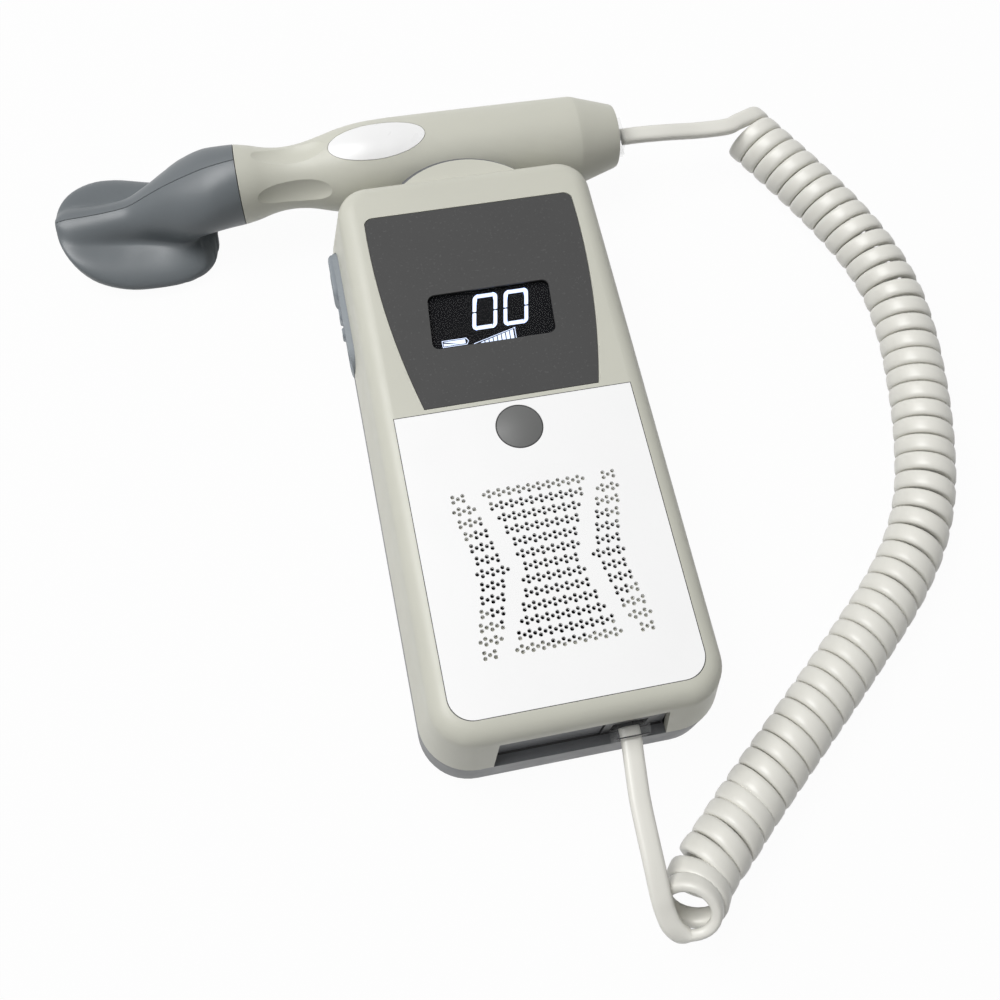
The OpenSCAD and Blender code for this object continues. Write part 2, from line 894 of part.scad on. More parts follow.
module side_key(key) {
    color("#7a828a")
        along_x(-half_w - pad_up - key[2], key_back())
            key_plan(key);
}

function key_back() = -half_w + pad_in + 0.4;

module large_key() { side_key(key_list[0]); }
module middle_key() { side_key(key_list[1]); }
module small_key() { side_key(key_list[2]); }

module key_switches() {
    color("#222222")
        for (key = key_list)
            translate([key_back() + key_travel + 0.1, pad_y + key[0] - 1.3, pad_z - 1.3])
                cube([key_switch_t, 2.6, 2.6]);
}

module key_board() {
    x = key_back() + key_travel + 0.1 + key_switch_t + 0.02;
    color("#1f6b3a") {
        translate([x, pad_y - pad_l / 2 + 1, pad_z - 4])
            cube([key_board_t, pad_l - 8, 7]);
        for (y = [pad_y - pad_l / 2 + 2, pad_y + 5])
            translate([x, y, floor_t + 0.1])
                cube([key_board_t, 3, pad_z - 4 - floor_t]);
    }
}

module jack_board() {
    color("#1f6b3a") {
        translate([jack_x - jack_w / 2 - 3.4, panel_y + panel_t + 0.3, jack_z - board_t - 0.05])
            cube([jack_w + 6.8, jack_l - panel_t, board_t]);
        for (x = [-8, 6])
            translate([jack_x + x, panel_y + panel_t + 4, floor_t + 0.05])
                cube([2, 3, jack_z - board_t - floor_t]);
    }
}

// Handset jack with its mouth in the plane y = 0 looking to -Y, resting on z = 0
module jack_body() {
    color("#1b1b1d")
        difference() {
            translate([-jack_w / 2, 0, 0])
                cube([jack_w, jack_l, jack_h]);
            translate([-plug_w / 2 - plug_gap, -1, plug_floor - plug_gap])
                cube([plug_w + 2 * plug_gap, plug_in + pin_room + 1, plug_h + 2 * plug_gap]);
            translate([-latch_w / 2 - 0.2, -1, -eps])
                cube([latch_w + 0.4, plug_in + 0.2, plug_floor + eps]);
            translate([-plug_w / 2 + 1, -1, plug_floor + plug_h])
                cube([plug_w - 2, 2.2, 2]);
        }
}

// Four spring wires at the back of the jack, behind the plug's nose
module jack_wires() {
    color("gold")
        for (i = [-1.5:1:1.5])
            translate([i * pin_step, plug_in + pin_room / 2, plug_floor])
                cylinder(r = pin_r, h = plug_h, $fn = 16);
}

// Clear plug, nose towards +Y, its cord end in the plane y = -plug_out
module plug_body() {
    color("#dfe6ea", 0.4)
        translate([0, -plug_out, plug_floor])
            difference() {
                union() {
                    translate([-plug_w / 2, 0, 0])
                        cube([plug_w, plug_l, plug_h]);
                    latch();
                }
                for (i = [-1.5:1:1.5])
                    translate([i * pin_step - 0.25, plug_l - 3.2, plug_h - 3])
                        cube([0.5, 2.4, 4]);
            }
}

// Springy tab under the plug that hooks behind the jack's mouth
module latch() {
    rotate([90, 0, 90])
        translate([0, 0, -latch_w / 2])
            linear_extrude(latch_w)
                polygon([[-1.4, -1.7], [-1.4, -2.1], [plug_out - 0.3, -1], [plug_l - 2.6, -0.6],
                         [plug_l - 1, 0.2], [plug_l - 3, 0.2], [plug_l - 3.4, -0.15],
                         [plug_out - 0.3, -0.6]]);
}

module plug_pins() {
    color("gold")
        translate([0, -plug_out, plug_floor])
            for (i = [-1.5:1:1.5])
                translate([i * pin_step - 0.18, plug_l - 3, plug_h - 2.9])
                    cube([0.36, 2, 2.7]);
}

module at_case_jack() {
    translate([jack_x, panel_y, jack_z])
        children();
}

// The tail jack looks to +X, centred behind the tail's thin end wall
module at_probe_jack() {
    translate([tail_x - tail_wall, axis_y, probe_z - jack_h / 2])
        rotate([0, 0, 90])
            children();
}

module case_jack() { at_case_jack() jack_body(); }
module case_jack_contacts() { at_case_jack() jack_wires(); }
module case_plug() { at_case_jack() plug_body(); }
module case_plug_contacts() { at_case_jack() plug_pins(); }
module probe_jack() {
    intersection() {
        at_probe_jack()
            jack_body();
        along_axis(tail_x - jack_l - 2, tail_x, tail_jack_r);
    }
}
module probe_jack_contacts() { at_probe_jack() jack_wires(); }
module probe_plug() { at_probe_jack() plug_body(); }
module probe_plug_contacts() { at_probe_jack() plug_pins(); }

module battery(x, turned) {
    y0 = bay_y0 + (turned ? 3.3 : 0.5);
    color("#3b6ea5")
        translate([x, y0, cell_z])
            rotate([-90, 0, 0]) {
                translate([0, 0, turned ? 0 : 1.2])
                    cylinder(d = cell_d, h = cell_l - 1.2);
                translate([0, 0, turned ? cell_l - 1.3 : 0])
                    cylinder(d = 5.5, h = 1.3);
            }
}

cell_x = (cell_d + cell_gap) / 2;
module battery_left() { battery(-cell_x, true); }
module battery_right() { battery(cell_x, false); }

// Two coil springs that press on the cells' flat ends
module battery_springs() {
    color("silver") {
        contact_spring(-cell_x, bay_y0 + 0.5, 1);
        contact_spring(cell_x, bay_y1 - 0.5, -1);
    }
}

module contact_spring(x, y, way) {
    turns = 2.5;
    n = 30;
    wire = 0.35;
    path = [
        for (i = [0:n])
            let (a = i / n, r = mix(4.2, 2.6, a), t = 360 * turns * a)
                [x + r * cos(t), y + way * (0.4 + 2.1 * a), cell_z + r * sin(t)]
    ];
    loft([
        for (i = [0:n])
            let (t = unit(path[min(i + 1, n)] - path[max(i - 1, 0)]),
                 out = unit(path[i] - [x, path[i][1], cell_z]),
                 side = cross(t, out))
                [for (k = [0:5]) path[i] + wire * (cos(60 * k) * out + sin(60 * k) * side)]
    ]);
}

module battery_plates() {
    color("silver")
        for (x = [-cell_x, cell_x], end = [0, 1])
            translate([x - contact_w / 2, end == 0 ? bay_y0 + 0.05 : bay_y1 - 0.05 - contact_t,
                       cell_z - contact_w / 2])
                cube([contact_w, contact_t, contact_w]);
}

module case_screws() {
    color("#6c6c6c")
        at_screws()
            translate([0, 0, screw_sink])
                difference() {
                    union() {
                        cylinder(r = screw_head_r, h = screw_head_t);
                        cylinder(r = screw_r, h = screw_l + screw_head_t);
                    }
                    for (a = [0, 90])
                        rotate([0, 0, a])
                            translate([-1.6, -0.3, -eps])
                                cube([3.2, 0.6, 1]);
                }
}

// Handle outline from the head joint to the tail: distance along the axis and radius
handle_line = [
    [-joint_x, collar_r], [-50, mix(waist_r, collar_r, 0.68)], [-46, mix(waist_r, collar_r, 0.2)],
    [-41.5, waist_r], [-36.5, mix(waist_r, handle_r, 0.12)], [-31.5, mix(waist_r, handle_r, 0.42)],
    [-26.5, mix(waist_r, handle_r, 0.73)], [-21, mix(waist_r, handle_r, 0.93)], [-14, handle_r]
];
handle_belly = [[2, handle_r - 0.05], [18, handle_r - 0.2]];
shoulder_x = tail_x - 11.4;
handle_tail = [[shoulder_x, handle_r - 0.4], [shoulder_x + 0.8, handle_r - 0.55], [tail_x - 0.8, tail_r],
               [tail_x - 0.2, tail_r - 0.3], [tail_x, tail_r - 0.9]];

module handle_profile(inset = 0) {
    line = concat(spline(handle_line, 3), handle_belly, handle_tail);
    polygon(concat([[-joint_x, 0]], [for (p = line) [p[0], p[1] - inset]], [[tail_x, 0]]));
}

module turned_on_axis() {
    translate([0, axis_y, probe_z])
        rotate([0, 90, 0])
            rotate([0, 0, 90])
                rotate_extrude($fn = 72)
                    rotate([0, 0, 90])
                        mirror([0, 1])
                            children();
}

module along_axis(x0, x1, r) {
    translate([x0, axis_y, probe_z])
        rotate([0, 90, 0])
            cylinder(r = r, h = x1 - x0);
}

module probe_handle() {
    dimple_r = 15;
    dimple_x = -joint_x + 13;
    color("#cfcfc3")
        difference() {
            turned_on_axis()
                handle_profile();
            along_axis(-joint_x - 1, -joint_x + spigot_l + 1, spigot_r + seat);
            along_axis(-joint_x + spigot_l, -24, spigot_r);
            along_axis(-24 - eps, tail_x - jack_l - 6, bore_r);
            intersection() {
                translate([tail_x - jack_l - 8, axis_y - jack_w / 2 - seat, probe_z - jack_h / 2 - seat])
                    cube([jack_l + 8 - tail_wall, jack_w + 2 * seat, jack_h + 2 * seat]);
                along_axis(tail_x - jack_l - 9, tail_x, tail_jack_r + seat);
            }
            translate([tail_x - 2, axis_y - plug_w / 2 - 0.25, probe_z - jack_h / 2 - 0.2])
                cube([3, plug_w + 0.5, plug_floor + plug_h + 0.45]);
            for (a = [-8:72:280])
                translate([dimple_x, axis_y, probe_z])
                    rotate([a, 0, 0])
                        translate([0, 0, waist_r + dimple_r - dimple_deep])
                            sphere(r = dimple_r, $fn = 64);
            badge_space(seat, badge_t + 0.03);
        }
}

// Space over an oval on the handle, down to a depth below the handle's own curve
module badge_space(grow, depth) {
    difference() {
        translate([0, axis_y, probe_z])
            rotate([badge_turn, 0, 0])
                translate([badge_x, 0, 0])
                    linear_extrude(handle_r + 2)
                        polygon([for (a = [0:7.5:352.5]) [(badge_w / 2 + grow) * cos(a),
                                                          (badge_h / 2 + grow) * sin(a)]]);
        turned_on_axis()
            handle_profile(depth);
    }
}

module probe_badge() {
    color("#f4f4f2")
        intersection() {
            badge_space(0, badge_t);
            turned_on_axis()
                handle_profile();
        }
}

// The head's skin blends two bodies: the paddle, an oval dish whose toe rises, and the neck,
// which runs out along the paddle as a ridge. It is found along rays in slices across X.
// Slice of the paddle: half width, height of rim, crown and sole, and share of width on the far side
function paddle_slice(x) =
    let (dx = min(x, heel_x) - paddle_x, p = dx < 0 ? 2.3 : 3.2,
         c = clamp(abs(dx) / (dx < 0 ? toe_reach : heel_reach), 0, 0.9999),
         toe = clamp((toe_start - x) / (toe_start - toe_x)),
         heel = clamp((x - heel_x + 7) / 7, 0, 0.9999),
         sole_toe = clamp((sole_end - x) / (sole_end - toe_x)),
         sole_heel = clamp((x - heel_x + 4.4) / 4.4),
         rim = rim_z + (toe_z - rim_z) * pow(toe, 1.5),
         crown = crown_h * sqrt(1 - toe * toe) * sqrt(1 - pow(heel, 2.2)),
         sole = head_up + (toe_z - head_up) * 0.98 * pow(sole_toe, 2)
                + (rim_z - head_up) * 0.9 * pow(sole_heel, 2))
    [max(paddle_w / 2 * pow(1 - pow(c, p), 1 / p), 0.05), rim, rim + max(crown, 0.15),
     min(sole, rim - 0.15),
     1 - far_trim * clamp((x - paddle_x + 12) / 12)];

// Neck from the handle down along the paddle: distance from the joint, top, bottom and half width
neck_line = [
    [0, 9.9, -9.9, 9.9], [-3.5, 9.2, -9.6, 10.5], [-8.5, 7.8, -9.6, 11.2], [-14.5, 5.3, -11.7, 10.6],
    [-19.5, 2.8, -13.2, 8.6], [-23.5, 0.4, -13.6, 7], [-28.5, -2.6, -13.6, 5.6], [-32.5, -3.8, -13.4, 5],
    [-38.5, -4.9, -12.6, 4.6], [-44.5, -6, -11.2, 4], [-47.8, -7.4, -7.9, 0.8]
];
neck_path = spline(neck_line, 6);
function neck_at(x, k) = lookup(x + joint_x, [for (p = neck_path) [p[0], p[k]]]);
function neck_slice(x) =
    let (grow = collar_r / 9.9)
    [probe_z + neck_at(x, 1) * grow, probe_z + neck_at(x, 2) * grow, neck_at(x, 3) * grow];

// Signed distance, roughly in mm, of a point in a slice from the blended skin
function skin_depth(y, z, paddle, neck, beyond, soft) =
    let (w = y > 0 ? paddle[0] * paddle[4] : paddle[0], above = z > paddle[1], m = above ? 2 : 3,
         t = above ? (z - paddle[1]) / (paddle[2] - paddle[1])
           : (paddle[1] - z) / (paddle[1] - paddle[3]),
         v = pow(pow(abs(y) / w, m) + pow(t, m), 1 / m),
         near = norm([y, z - paddle[1]]) * (1 - 1 / max(v, 0.0001)),
         to_paddle = beyond > 0 ? norm([max(near, 0), beyond]) : near,
         mid = (neck[0] + neck[1]) / 2, half = (neck[0] - neck[1]) / 2,
         e = norm([y / neck[2], (z - mid) / half]),
         to_neck = norm([y, z - mid]) * (1 - 1 / max(e, 0.0001)),
         h = max(soft - abs(to_paddle - to_neck), 0) / soft)
    min(to_paddle, to_neck) - h * h * soft / 4;

// Length of a ray from the spine to the skin, by halving
function skin_reach(c, s, spine, paddle, neck, beyond, soft, low = 0, high = 30, step = 14) =
    let (r = (low + high) / 2)
    step == 0 ? r
    : skin_depth(r * c, spine + r * s, paddle, neck, beyond, soft) < 0
        ? skin_reach(c, s, spine, paddle, neck, beyond, soft, r, high, step - 1)
        : skin_reach(c, s, spine, paddle, neck, beyond, soft, low, r, step - 1);

function head_ring(x, rays) =
    let (paddle = paddle_slice(x), neck = neck_slice(x), beyond = max(x - heel_x, 0),
         soft = blend_r * clamp((-joint_x - x) / 8, 0.02, 1),
         sunk = ease((-joint_x - x) / 8.5), squeeze = 1 - 0.62 * ease((-joint_x - x) / 22),
         toe = clamp((paddle_x + 2 - x) / (toe_reach + 2)),
         spine = mix(probe_z, 6.5 + (toe_z - 6.5) * toe * toe, sunk))
    [for (i = [0:rays - 1])
        let (a = 360 * i / rays, way = unit([cos(a), sin(a) * squeeze]),
             r = skin_reach(way[0], way[1], spine, paddle, neck, beyond, soft))
            [x, axis_y + r * way[0], spine + r * way[1]]];

head_stations = concat(
    [toe_x + 0.03], [for (a = [10:10:90]) toe_x + (toe_reach - 5) * (1 - cos(a))],
    [for (i = [1:9]) mix(paddle_x - 5, heel_x - 6, i / 9)],
    [for (a = [14:14:84]) heel_x - 6 * (1 - sin(a))],
    [heel_x], [for (i = [1:5]) mix(heel_x, -joint_x, i / 5)]
);

module head_skin() {
    loft([for (x = head_stations) head_ring(x, 52)]);
}

module head_solid() {
    difference() {
        union() {
            head_skin();
            along_axis(-joint_x - 1, -joint_x + spigot_l, spigot_r);
        }
        translate([paddle_x, axis_y, -1])
            cylinder(d = face_d + 2 * seat, h = 1 + head_up + lens_t + crystal_t + 0.6);
        along_axis(paddle_x + 14, -joint_x + spigot_l + 1, 2);
    }
}

module head_half(side) {
    far = 60;
    intersection() {
        head_solid();
        translate([-joint_x - 60, side < 0 ? axis_y - far : axis_y + 0.02, -1])
            cube([80, far - 0.02, 40]);
    }
}

module head_front_half() { color("#6e7377") head_half(-1); }
module head_rear_half() { color("#696e72") head_half(1); }

module contact_face() {
    color("#2f3133")
        translate([paddle_x, axis_y, head_up])
            difference() {
                cylinder(d = face_d, h = lens_t);
                translate([0, 0, -19.7])
                    tube(face_d / 2 + 1, face_d / 2 - 1, 20);
            }
}

// Half-round piezo plates that send and receive
module crystal(side) {
    color("#b9a46a")
        intersection() {
            translate([paddle_x, axis_y, head_up + lens_t + 0.05])
                cylinder(r = crystal_r, h = crystal_t);
            translate([paddle_x - crystal_r, side < 0 ? axis_y - crystal_r : axis_y + crystal_gap / 2, 0])
                cube([2 * crystal_r, crystal_r - crystal_gap / 2, 10]);
        }
}

module transmit_crystal() { crystal(-1); }
module receive_crystal() { crystal(1); }

module probe_board() {
    half = bore_r - 1;
    leg_l = 3.4;
    leg_half = sqrt(pow(bore_r - 0.25, 2) - pow(probe_z - handle_board_z + leg_l, 2));
    color("#1f6b3a") {
        translate([-22, axis_y - half, handle_board_z])
            cube([tail_x - jack_l - 6 + 22 - 1, 2 * half, board_t]);
        for (x = [-18, 12])
            translate([x, axis_y - leg_half, handle_board_z - leg_l])
                cube([2, 2 * leg_half, leg_l + 0.1]);
        translate([-10, axis_y - 3, handle_board_z + board_t - 0.1])
            cube([8, 6, 1.5]);
    }
}

// One ring of the flat cord: broad across, thin along the face direction
function cord_ring(at, ahead, face, sides) =
    let (across = unit(cross(ahead, face)), out = unit(cross(across, ahead)),
         w = cord_w / 2, t = cord_t / 2)
    sides == 6
    ? [for (p = [[1, 0], [0.72, 1], [-0.72, 1], [-1, 0], [-0.72, -1], [0.72, -1]])
        at + p[0] * w * across + p[1] * t * out]
    : [for (p = [[1, -0.4], [1, 0.4], [0.78, 1], [-0.78, 1], [-1, 0.4], [-1, -0.4], [-0.78, -1], [0.78, -1]])
        at + p[0] * w * across + p[1] * t * out];

// Curly part. The table of turns places each ring: the inside of a bend keeps the pitch.
function line_head(p, i) =
    unit(place(p[min(i + 1, len(p) - 1)]) - place(p[max(i - 1, 0)]));
coil_line = [for (p = spline(coil_route, 8)) [p[0], p[1], p[2] + coil_d / 2 + 0.1]];
function bend_at(i) =
    i == 0 || i == len(coil_line) - 1 ? 0
    : let (a = coil_line[i] - coil_line[i - 1], b = coil_line[i + 1] - coil_line[i])
      norm(cross(unit(a), unit(b))) * 2 / (norm(a) + norm(b));
coil_turns = concat([0], sums([
    for (i = [1:len(coil_line) - 1])
        let (inside = 1 - coil_d / 2 * (bend_at(i) + bend_at(i - 1)) / 2)
            norm(coil_line[i] - coil_line[i - 1]) * inside / curl_pitch
]));
full_turns = coil_turns[len(coil_turns) - 1];
// Part of a turn at which the last curl runs off into the lead
last_part = 0.68;
total_turns = floor(full_turns - last_part) + last_part;
turn_scale = full_turns / total_turns;
function column(k) = [for (i = [0:len(coil_line) - 1]) [coil_turns[i], coil_line[i][k]]];
x_at = column(0);
y_at = column(1);
z_at = column(2);
function coil_mid(turn) =
    let (t = turn * turn_scale) [lookup(t, x_at), lookup(t, y_at), lookup(t, z_at)];
// Outward direction on the curl at a turn
function coil_out(turn) =
    let (ahead = unit(coil_mid(min(turn + 0.4, total_turns)) - coil_mid(max(turn - 0.4, 0))),
         left = unit(cross([0, 0, 1], ahead)))
    cos(360 * turn) * cross(ahead, left) + sin(360 * turn) * left;
// The broad face looks outward on the curls and starts to turn up where the case lead begins
function coil_face(turn) =
    let (up = 0.5 * ease((turn - total_turns + 0.4) / 0.4))
    unit((1 - up) * coil_out(turn) + up * [0, 0, 1]);
function coil_point(turn) = coil_mid(turn) + coil_r * coil_out(turn);
function coil_ahead(turn) = unit(coil_point(turn + 0.01) - coil_point(turn - 0.01));
ring_turns = [for (i = [0:floor(total_turns * rings_per_curl)]) i / rings_per_curl];
start_ahead = coil_ahead(0.02);
end_ahead = coil_ahead(total_turns - 0.02);
coil_start = coil_point(0) - (cord_w + 0.4) * start_ahead;
coil_end = coil_point(total_turns) + (cord_w + 0.4) * end_ahead;
coil_rings = concat(
    [cord_ring(coil_start, start_ahead, coil_out(0), 6)],
    [for (t = ring_turns) cord_ring(coil_point(t), t == 0 ? start_ahead : coil_ahead(t), coil_face(t), 6)],
    [cord_ring(coil_end, end_ahead, coil_face(total_turns), 6)]
);
coil_gap = min([
    for (i = [1:len(coil_rings) - 1 - rings_per_curl], k = [-1:1], a = coil_rings[i])
        let (j = i + rings_per_curl + k)
            j < len(coil_rings) ? min([for (b = coil_rings[j]) norm(a - b)]) : 100
]);
echo(curls = total_turns, least_gap = coil_gap,
     lowest = min([for (ring = coil_rings, p = ring) p[2]]));

module curly_cord() {
    color("#dcdcd2")
        loft(coil_rings);
}

// Flat lead along points with a face direction each
module flat_lead(points, steps) {
    line = spline(points, steps);
    last = len(line) - 1;
    ends = len(points) - 1;
    color("#e1e1d8")
        loft([
            for (i = [0:last])
                let (p = line[i],
                     ahead = i == 0 ? unit(place(points[1]) - place(points[0]))
                           : i == last ? unit(place(points[ends]) - place(points[ends - 1]))
                           : line_head(line, i))
                    cord_ring(place(p), ahead, [p[3], p[4], p[5]], 8)
        ]);
}

function facing(at, face) = [at[0], at[1], at[2], face[0], face[1], face[2]];

case_lead_route = [
    facing(case_exit, [0, 0, 1]),
    facing(case_exit + [0, -5, 0], [0, 0, 1]),
    facing([9.5, -84, 19.3], [0, 0, 1]),
    facing([8.6, -93, 19], [-0.1, 0, 1]),
    facing([8.4, -99, 18.7], [-0.35, 0, 1]),
    facing(coil_end + 1.5 * end_ahead, coil_face(total_turns) + [0, 0, 0.2]),
    facing(coil_end, coil_face(total_turns))
];
probe_lead_route = [
    facing(probe_exit, [0, 0, 1]),
    facing(probe_exit + [5, 0, 0], [0, 0, 1]),
    facing([60, 84.9, 15.1], [0, 0, 1]),
    facing([69, 84.9, 14.2], [0, 0, 1]),
    facing(coil_start - 4 * start_ahead, coil_out(0)),
    facing(coil_start, coil_out(0))
];

module case_lead() { flat_lead(case_lead_route, 2); }
module probe_lead() { flat_lead(probe_lead_route, 2); }

front_shell();
rear_shell();
grille_plate();
face_label();
display_lens();
display_module();
main_board();
power_switch();
speaker_basket();
speaker_cone();
speaker_magnet();
key_pad();
key_board();
key_switches();
jack_board();
case_jack();
case_jack_contacts();
battery_left();
battery_right();
battery_springs();
battery_plates();
case_screws();
board_screws();
power_button();
large_key();
middle_key();
small_key();
battery_door();
probe_handle();
probe_badge();
head_front_half();
head_rear_half();
contact_face();
transmit_crystal();
receive_crystal();
probe_board();
probe_jack();
probe_jack_contacts();
case_plug();
case_plug_contacts();
probe_plug();
probe_plug_contacts();
case_lead();
curly_cord();
probe_lead();
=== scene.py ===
"""Looks of the handheld vascular doppler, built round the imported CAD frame."""
import json
import math

import bmesh
import bpy
from mathutils import Euler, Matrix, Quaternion, Vector
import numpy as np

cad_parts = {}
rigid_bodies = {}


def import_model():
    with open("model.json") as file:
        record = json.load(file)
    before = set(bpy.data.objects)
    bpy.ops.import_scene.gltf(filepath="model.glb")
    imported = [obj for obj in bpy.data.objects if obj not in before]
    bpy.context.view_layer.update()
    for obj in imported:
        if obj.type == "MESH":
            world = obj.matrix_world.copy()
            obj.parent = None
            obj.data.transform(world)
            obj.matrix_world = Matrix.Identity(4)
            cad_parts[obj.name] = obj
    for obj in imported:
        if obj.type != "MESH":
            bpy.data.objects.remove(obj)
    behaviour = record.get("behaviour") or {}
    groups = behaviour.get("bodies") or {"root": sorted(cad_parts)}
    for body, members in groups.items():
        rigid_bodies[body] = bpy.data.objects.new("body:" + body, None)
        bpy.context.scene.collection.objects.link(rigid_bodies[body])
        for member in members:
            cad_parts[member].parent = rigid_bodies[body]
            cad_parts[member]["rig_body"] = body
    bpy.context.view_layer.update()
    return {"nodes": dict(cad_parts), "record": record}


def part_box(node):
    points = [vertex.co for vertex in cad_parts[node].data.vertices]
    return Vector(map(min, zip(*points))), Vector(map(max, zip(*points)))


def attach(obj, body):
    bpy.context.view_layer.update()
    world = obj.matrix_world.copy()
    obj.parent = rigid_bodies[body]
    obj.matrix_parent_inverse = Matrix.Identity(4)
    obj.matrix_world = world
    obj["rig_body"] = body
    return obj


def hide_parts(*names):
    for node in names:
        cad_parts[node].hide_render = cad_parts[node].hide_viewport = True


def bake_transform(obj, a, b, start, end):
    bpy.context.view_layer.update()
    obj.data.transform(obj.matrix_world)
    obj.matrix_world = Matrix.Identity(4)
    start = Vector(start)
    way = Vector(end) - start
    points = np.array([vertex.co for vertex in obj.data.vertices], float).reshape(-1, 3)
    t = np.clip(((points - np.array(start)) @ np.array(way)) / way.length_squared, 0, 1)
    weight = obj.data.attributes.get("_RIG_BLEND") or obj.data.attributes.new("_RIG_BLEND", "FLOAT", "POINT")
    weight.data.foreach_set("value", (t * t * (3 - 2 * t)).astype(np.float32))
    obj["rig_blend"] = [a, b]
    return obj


MM = 0.001
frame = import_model()
scene = bpy.context.scene
slots = {s["node"]: s["material_slot"] for s in frame["record"]["subparts"]}


# Camera as recovered from the photo, and plain studio light

CAMERA_AT = (-0.039295, -0.108207, 0.261265)
CAMERA_TURN = (22.3451, -3.1757, -11.6302)
CAMERA_LENS = 41.51
WORLD_LIGHT = 0.22
FLOOR_GREY = 0.6
FLOOR_WHITE_SHARE = 0.965


def add_camera():
    data = bpy.data.cameras.new("camera")
    data.sensor_width = 36
    data.lens = CAMERA_LENS
    data.clip_start = 0.01
    data.clip_end = 20
    cam = bpy.data.objects.new("camera", data)
    cam.location = CAMERA_AT
    cam.rotation_euler = Euler([math.radians(a) for a in CAMERA_TURN])
    scene.collection.objects.link(cam)
    scene.camera = cam


def add_lamp(name, at, size, watts):
    """Round soft lamp that looks at the origin."""
    data = bpy.data.lights.new(name, "AREA")
    data.shape = "DISK"
    data.size = size
    data.energy = watts
    lamp = bpy.data.objects.new(name, data)
    lamp.location = at
    lamp.rotation_euler = (-Vector(at)).to_track_quat("-Z", "Y").to_euler()
    scene.collection.objects.link(lamp)


def add_world():
    """Even light on the object; white where the camera sees it."""
    world = bpy.data.worlds.new("world")
    scene.world = world
    world.use_nodes = True
    tree = world.node_tree
    tree.nodes.clear()
    out = tree.nodes.new("ShaderNodeOutputWorld")
    mix = tree.nodes.new("ShaderNodeMixShader")
    light = tree.nodes.new("ShaderNodeBackground")
    white = tree.nodes.new("ShaderNodeBackground")
    path = tree.nodes.new("ShaderNodeLightPath")
    light.inputs["Color"].default_value = (1, 1, 1, 1)
    light.inputs["Strength"].default_value = WORLD_LIGHT
    white.inputs["Color"].default_value = (1, 1, 1, 1)
    white.inputs["Strength"].default_value = 1
    tree.links.new(any_ray(tree, path), mix.inputs[0])
    tree.links.new(light.outputs[0], mix.inputs[1])
    tree.links.new(white.outputs[0], mix.inputs[2])
    tree.links.new(mix.outputs[0], out.inputs[0])


def any_ray(tree, path):
    """1 for what the camera sees directly, in a mirror or through glass."""
    first = math_node(tree, "MAXIMUM", path.outputs["Is Camera Ray"], path.outputs["Is Glossy Ray"])
    return math_node(tree, "MAXIMUM", first, path.outputs["Is Transmission Ray"])


def add_floor():
    """White floor that keeps a trace of the object's shadow."""
    bpy.ops.mesh.primitive_plane_add(size=6, location=(0, 0, -0.0001))
    floor = bpy.context.object
    floor.name = "floor"
    mat = bpy.data.materials.new("floor")
    mat.use_nodes = True
    tree = mat.node_tree
    tree.nodes.clear()
    out = tree.nodes.new("ShaderNodeOutputMaterial")
    matt = tree.nodes.new("ShaderNodeBsdfDiffuse")
    white = tree.nodes.new("ShaderNodeEmission")
    mix = tree.nodes.new("ShaderNodeMixShader")
    path = tree.nodes.new("ShaderNodeLightPath")
    matt.inputs["Color"].default_value = (FLOOR_GREY, FLOOR_GREY, FLOOR_GREY, 1)
    white.inputs["Strength"].default_value = 1
    share = math_node(tree, "MULTIPLY", any_ray(tree, path), FLOOR_WHITE_SHARE)
    tree.links.new(share, mix.inputs[0])
    tree.links.new(matt.outputs[0], mix.inputs[1])
    tree.links.new(white.outputs[0], mix.inputs[2])
    tree.links.new(mix.outputs[0], out.inputs[0])
    floor.data.materials.append(mat)


# Material helpers

GRAIN_DEPTH = 0.00003


def math_node(tree, kind, a, b):
    node = tree.nodes.new("ShaderNodeMath")
    node.operation = kind
    for socket, value in zip(node.inputs, (a, b)):
        if isinstance(value, (int, float)):
            socket.default_value = value
        else:
            tree.links.new(value, socket)
    return node.outputs[0]


def noise(tree, coords, scale, detail, rough=0.5):
    node = tree.nodes.new("ShaderNodeTexNoise")
    node.inputs["Scale"].default_value = scale
    node.inputs["Detail"].default_value = detail
    node.inputs["Roughness"].default_value = rough
    tree.links.new(coords, node.inputs["Vector"])
    return node.outputs["Fac"]


def remap(tree, value, low, high, to_low, to_high):
    """Map a range of values to another."""
    node = tree.nodes.new("ShaderNodeMapRange")
    for i, v in enumerate((low, high, to_low, to_high), 1):
        node.inputs[i].default_value = v
    tree.links.new(value, node.inputs[0])
    return node.outputs[0]


def colour_mix(tree, fac, a, b):
    node = tree.nodes.new("ShaderNodeMix")
    node.data_type = "RGBA"
    tree.links.new(fac, node.inputs[0])
    for socket, value in ((node.inputs[6], a), (node.inputs[7], b)):
        if isinstance(value, tuple):
            socket.default_value = (*value, 1)
        else:
            tree.links.new(value, socket)
    return node.outputs[2]


def shade(colour, by):
    """The colour made darker or lighter."""
    return tuple(min(1.0, c * by) for c in colour)


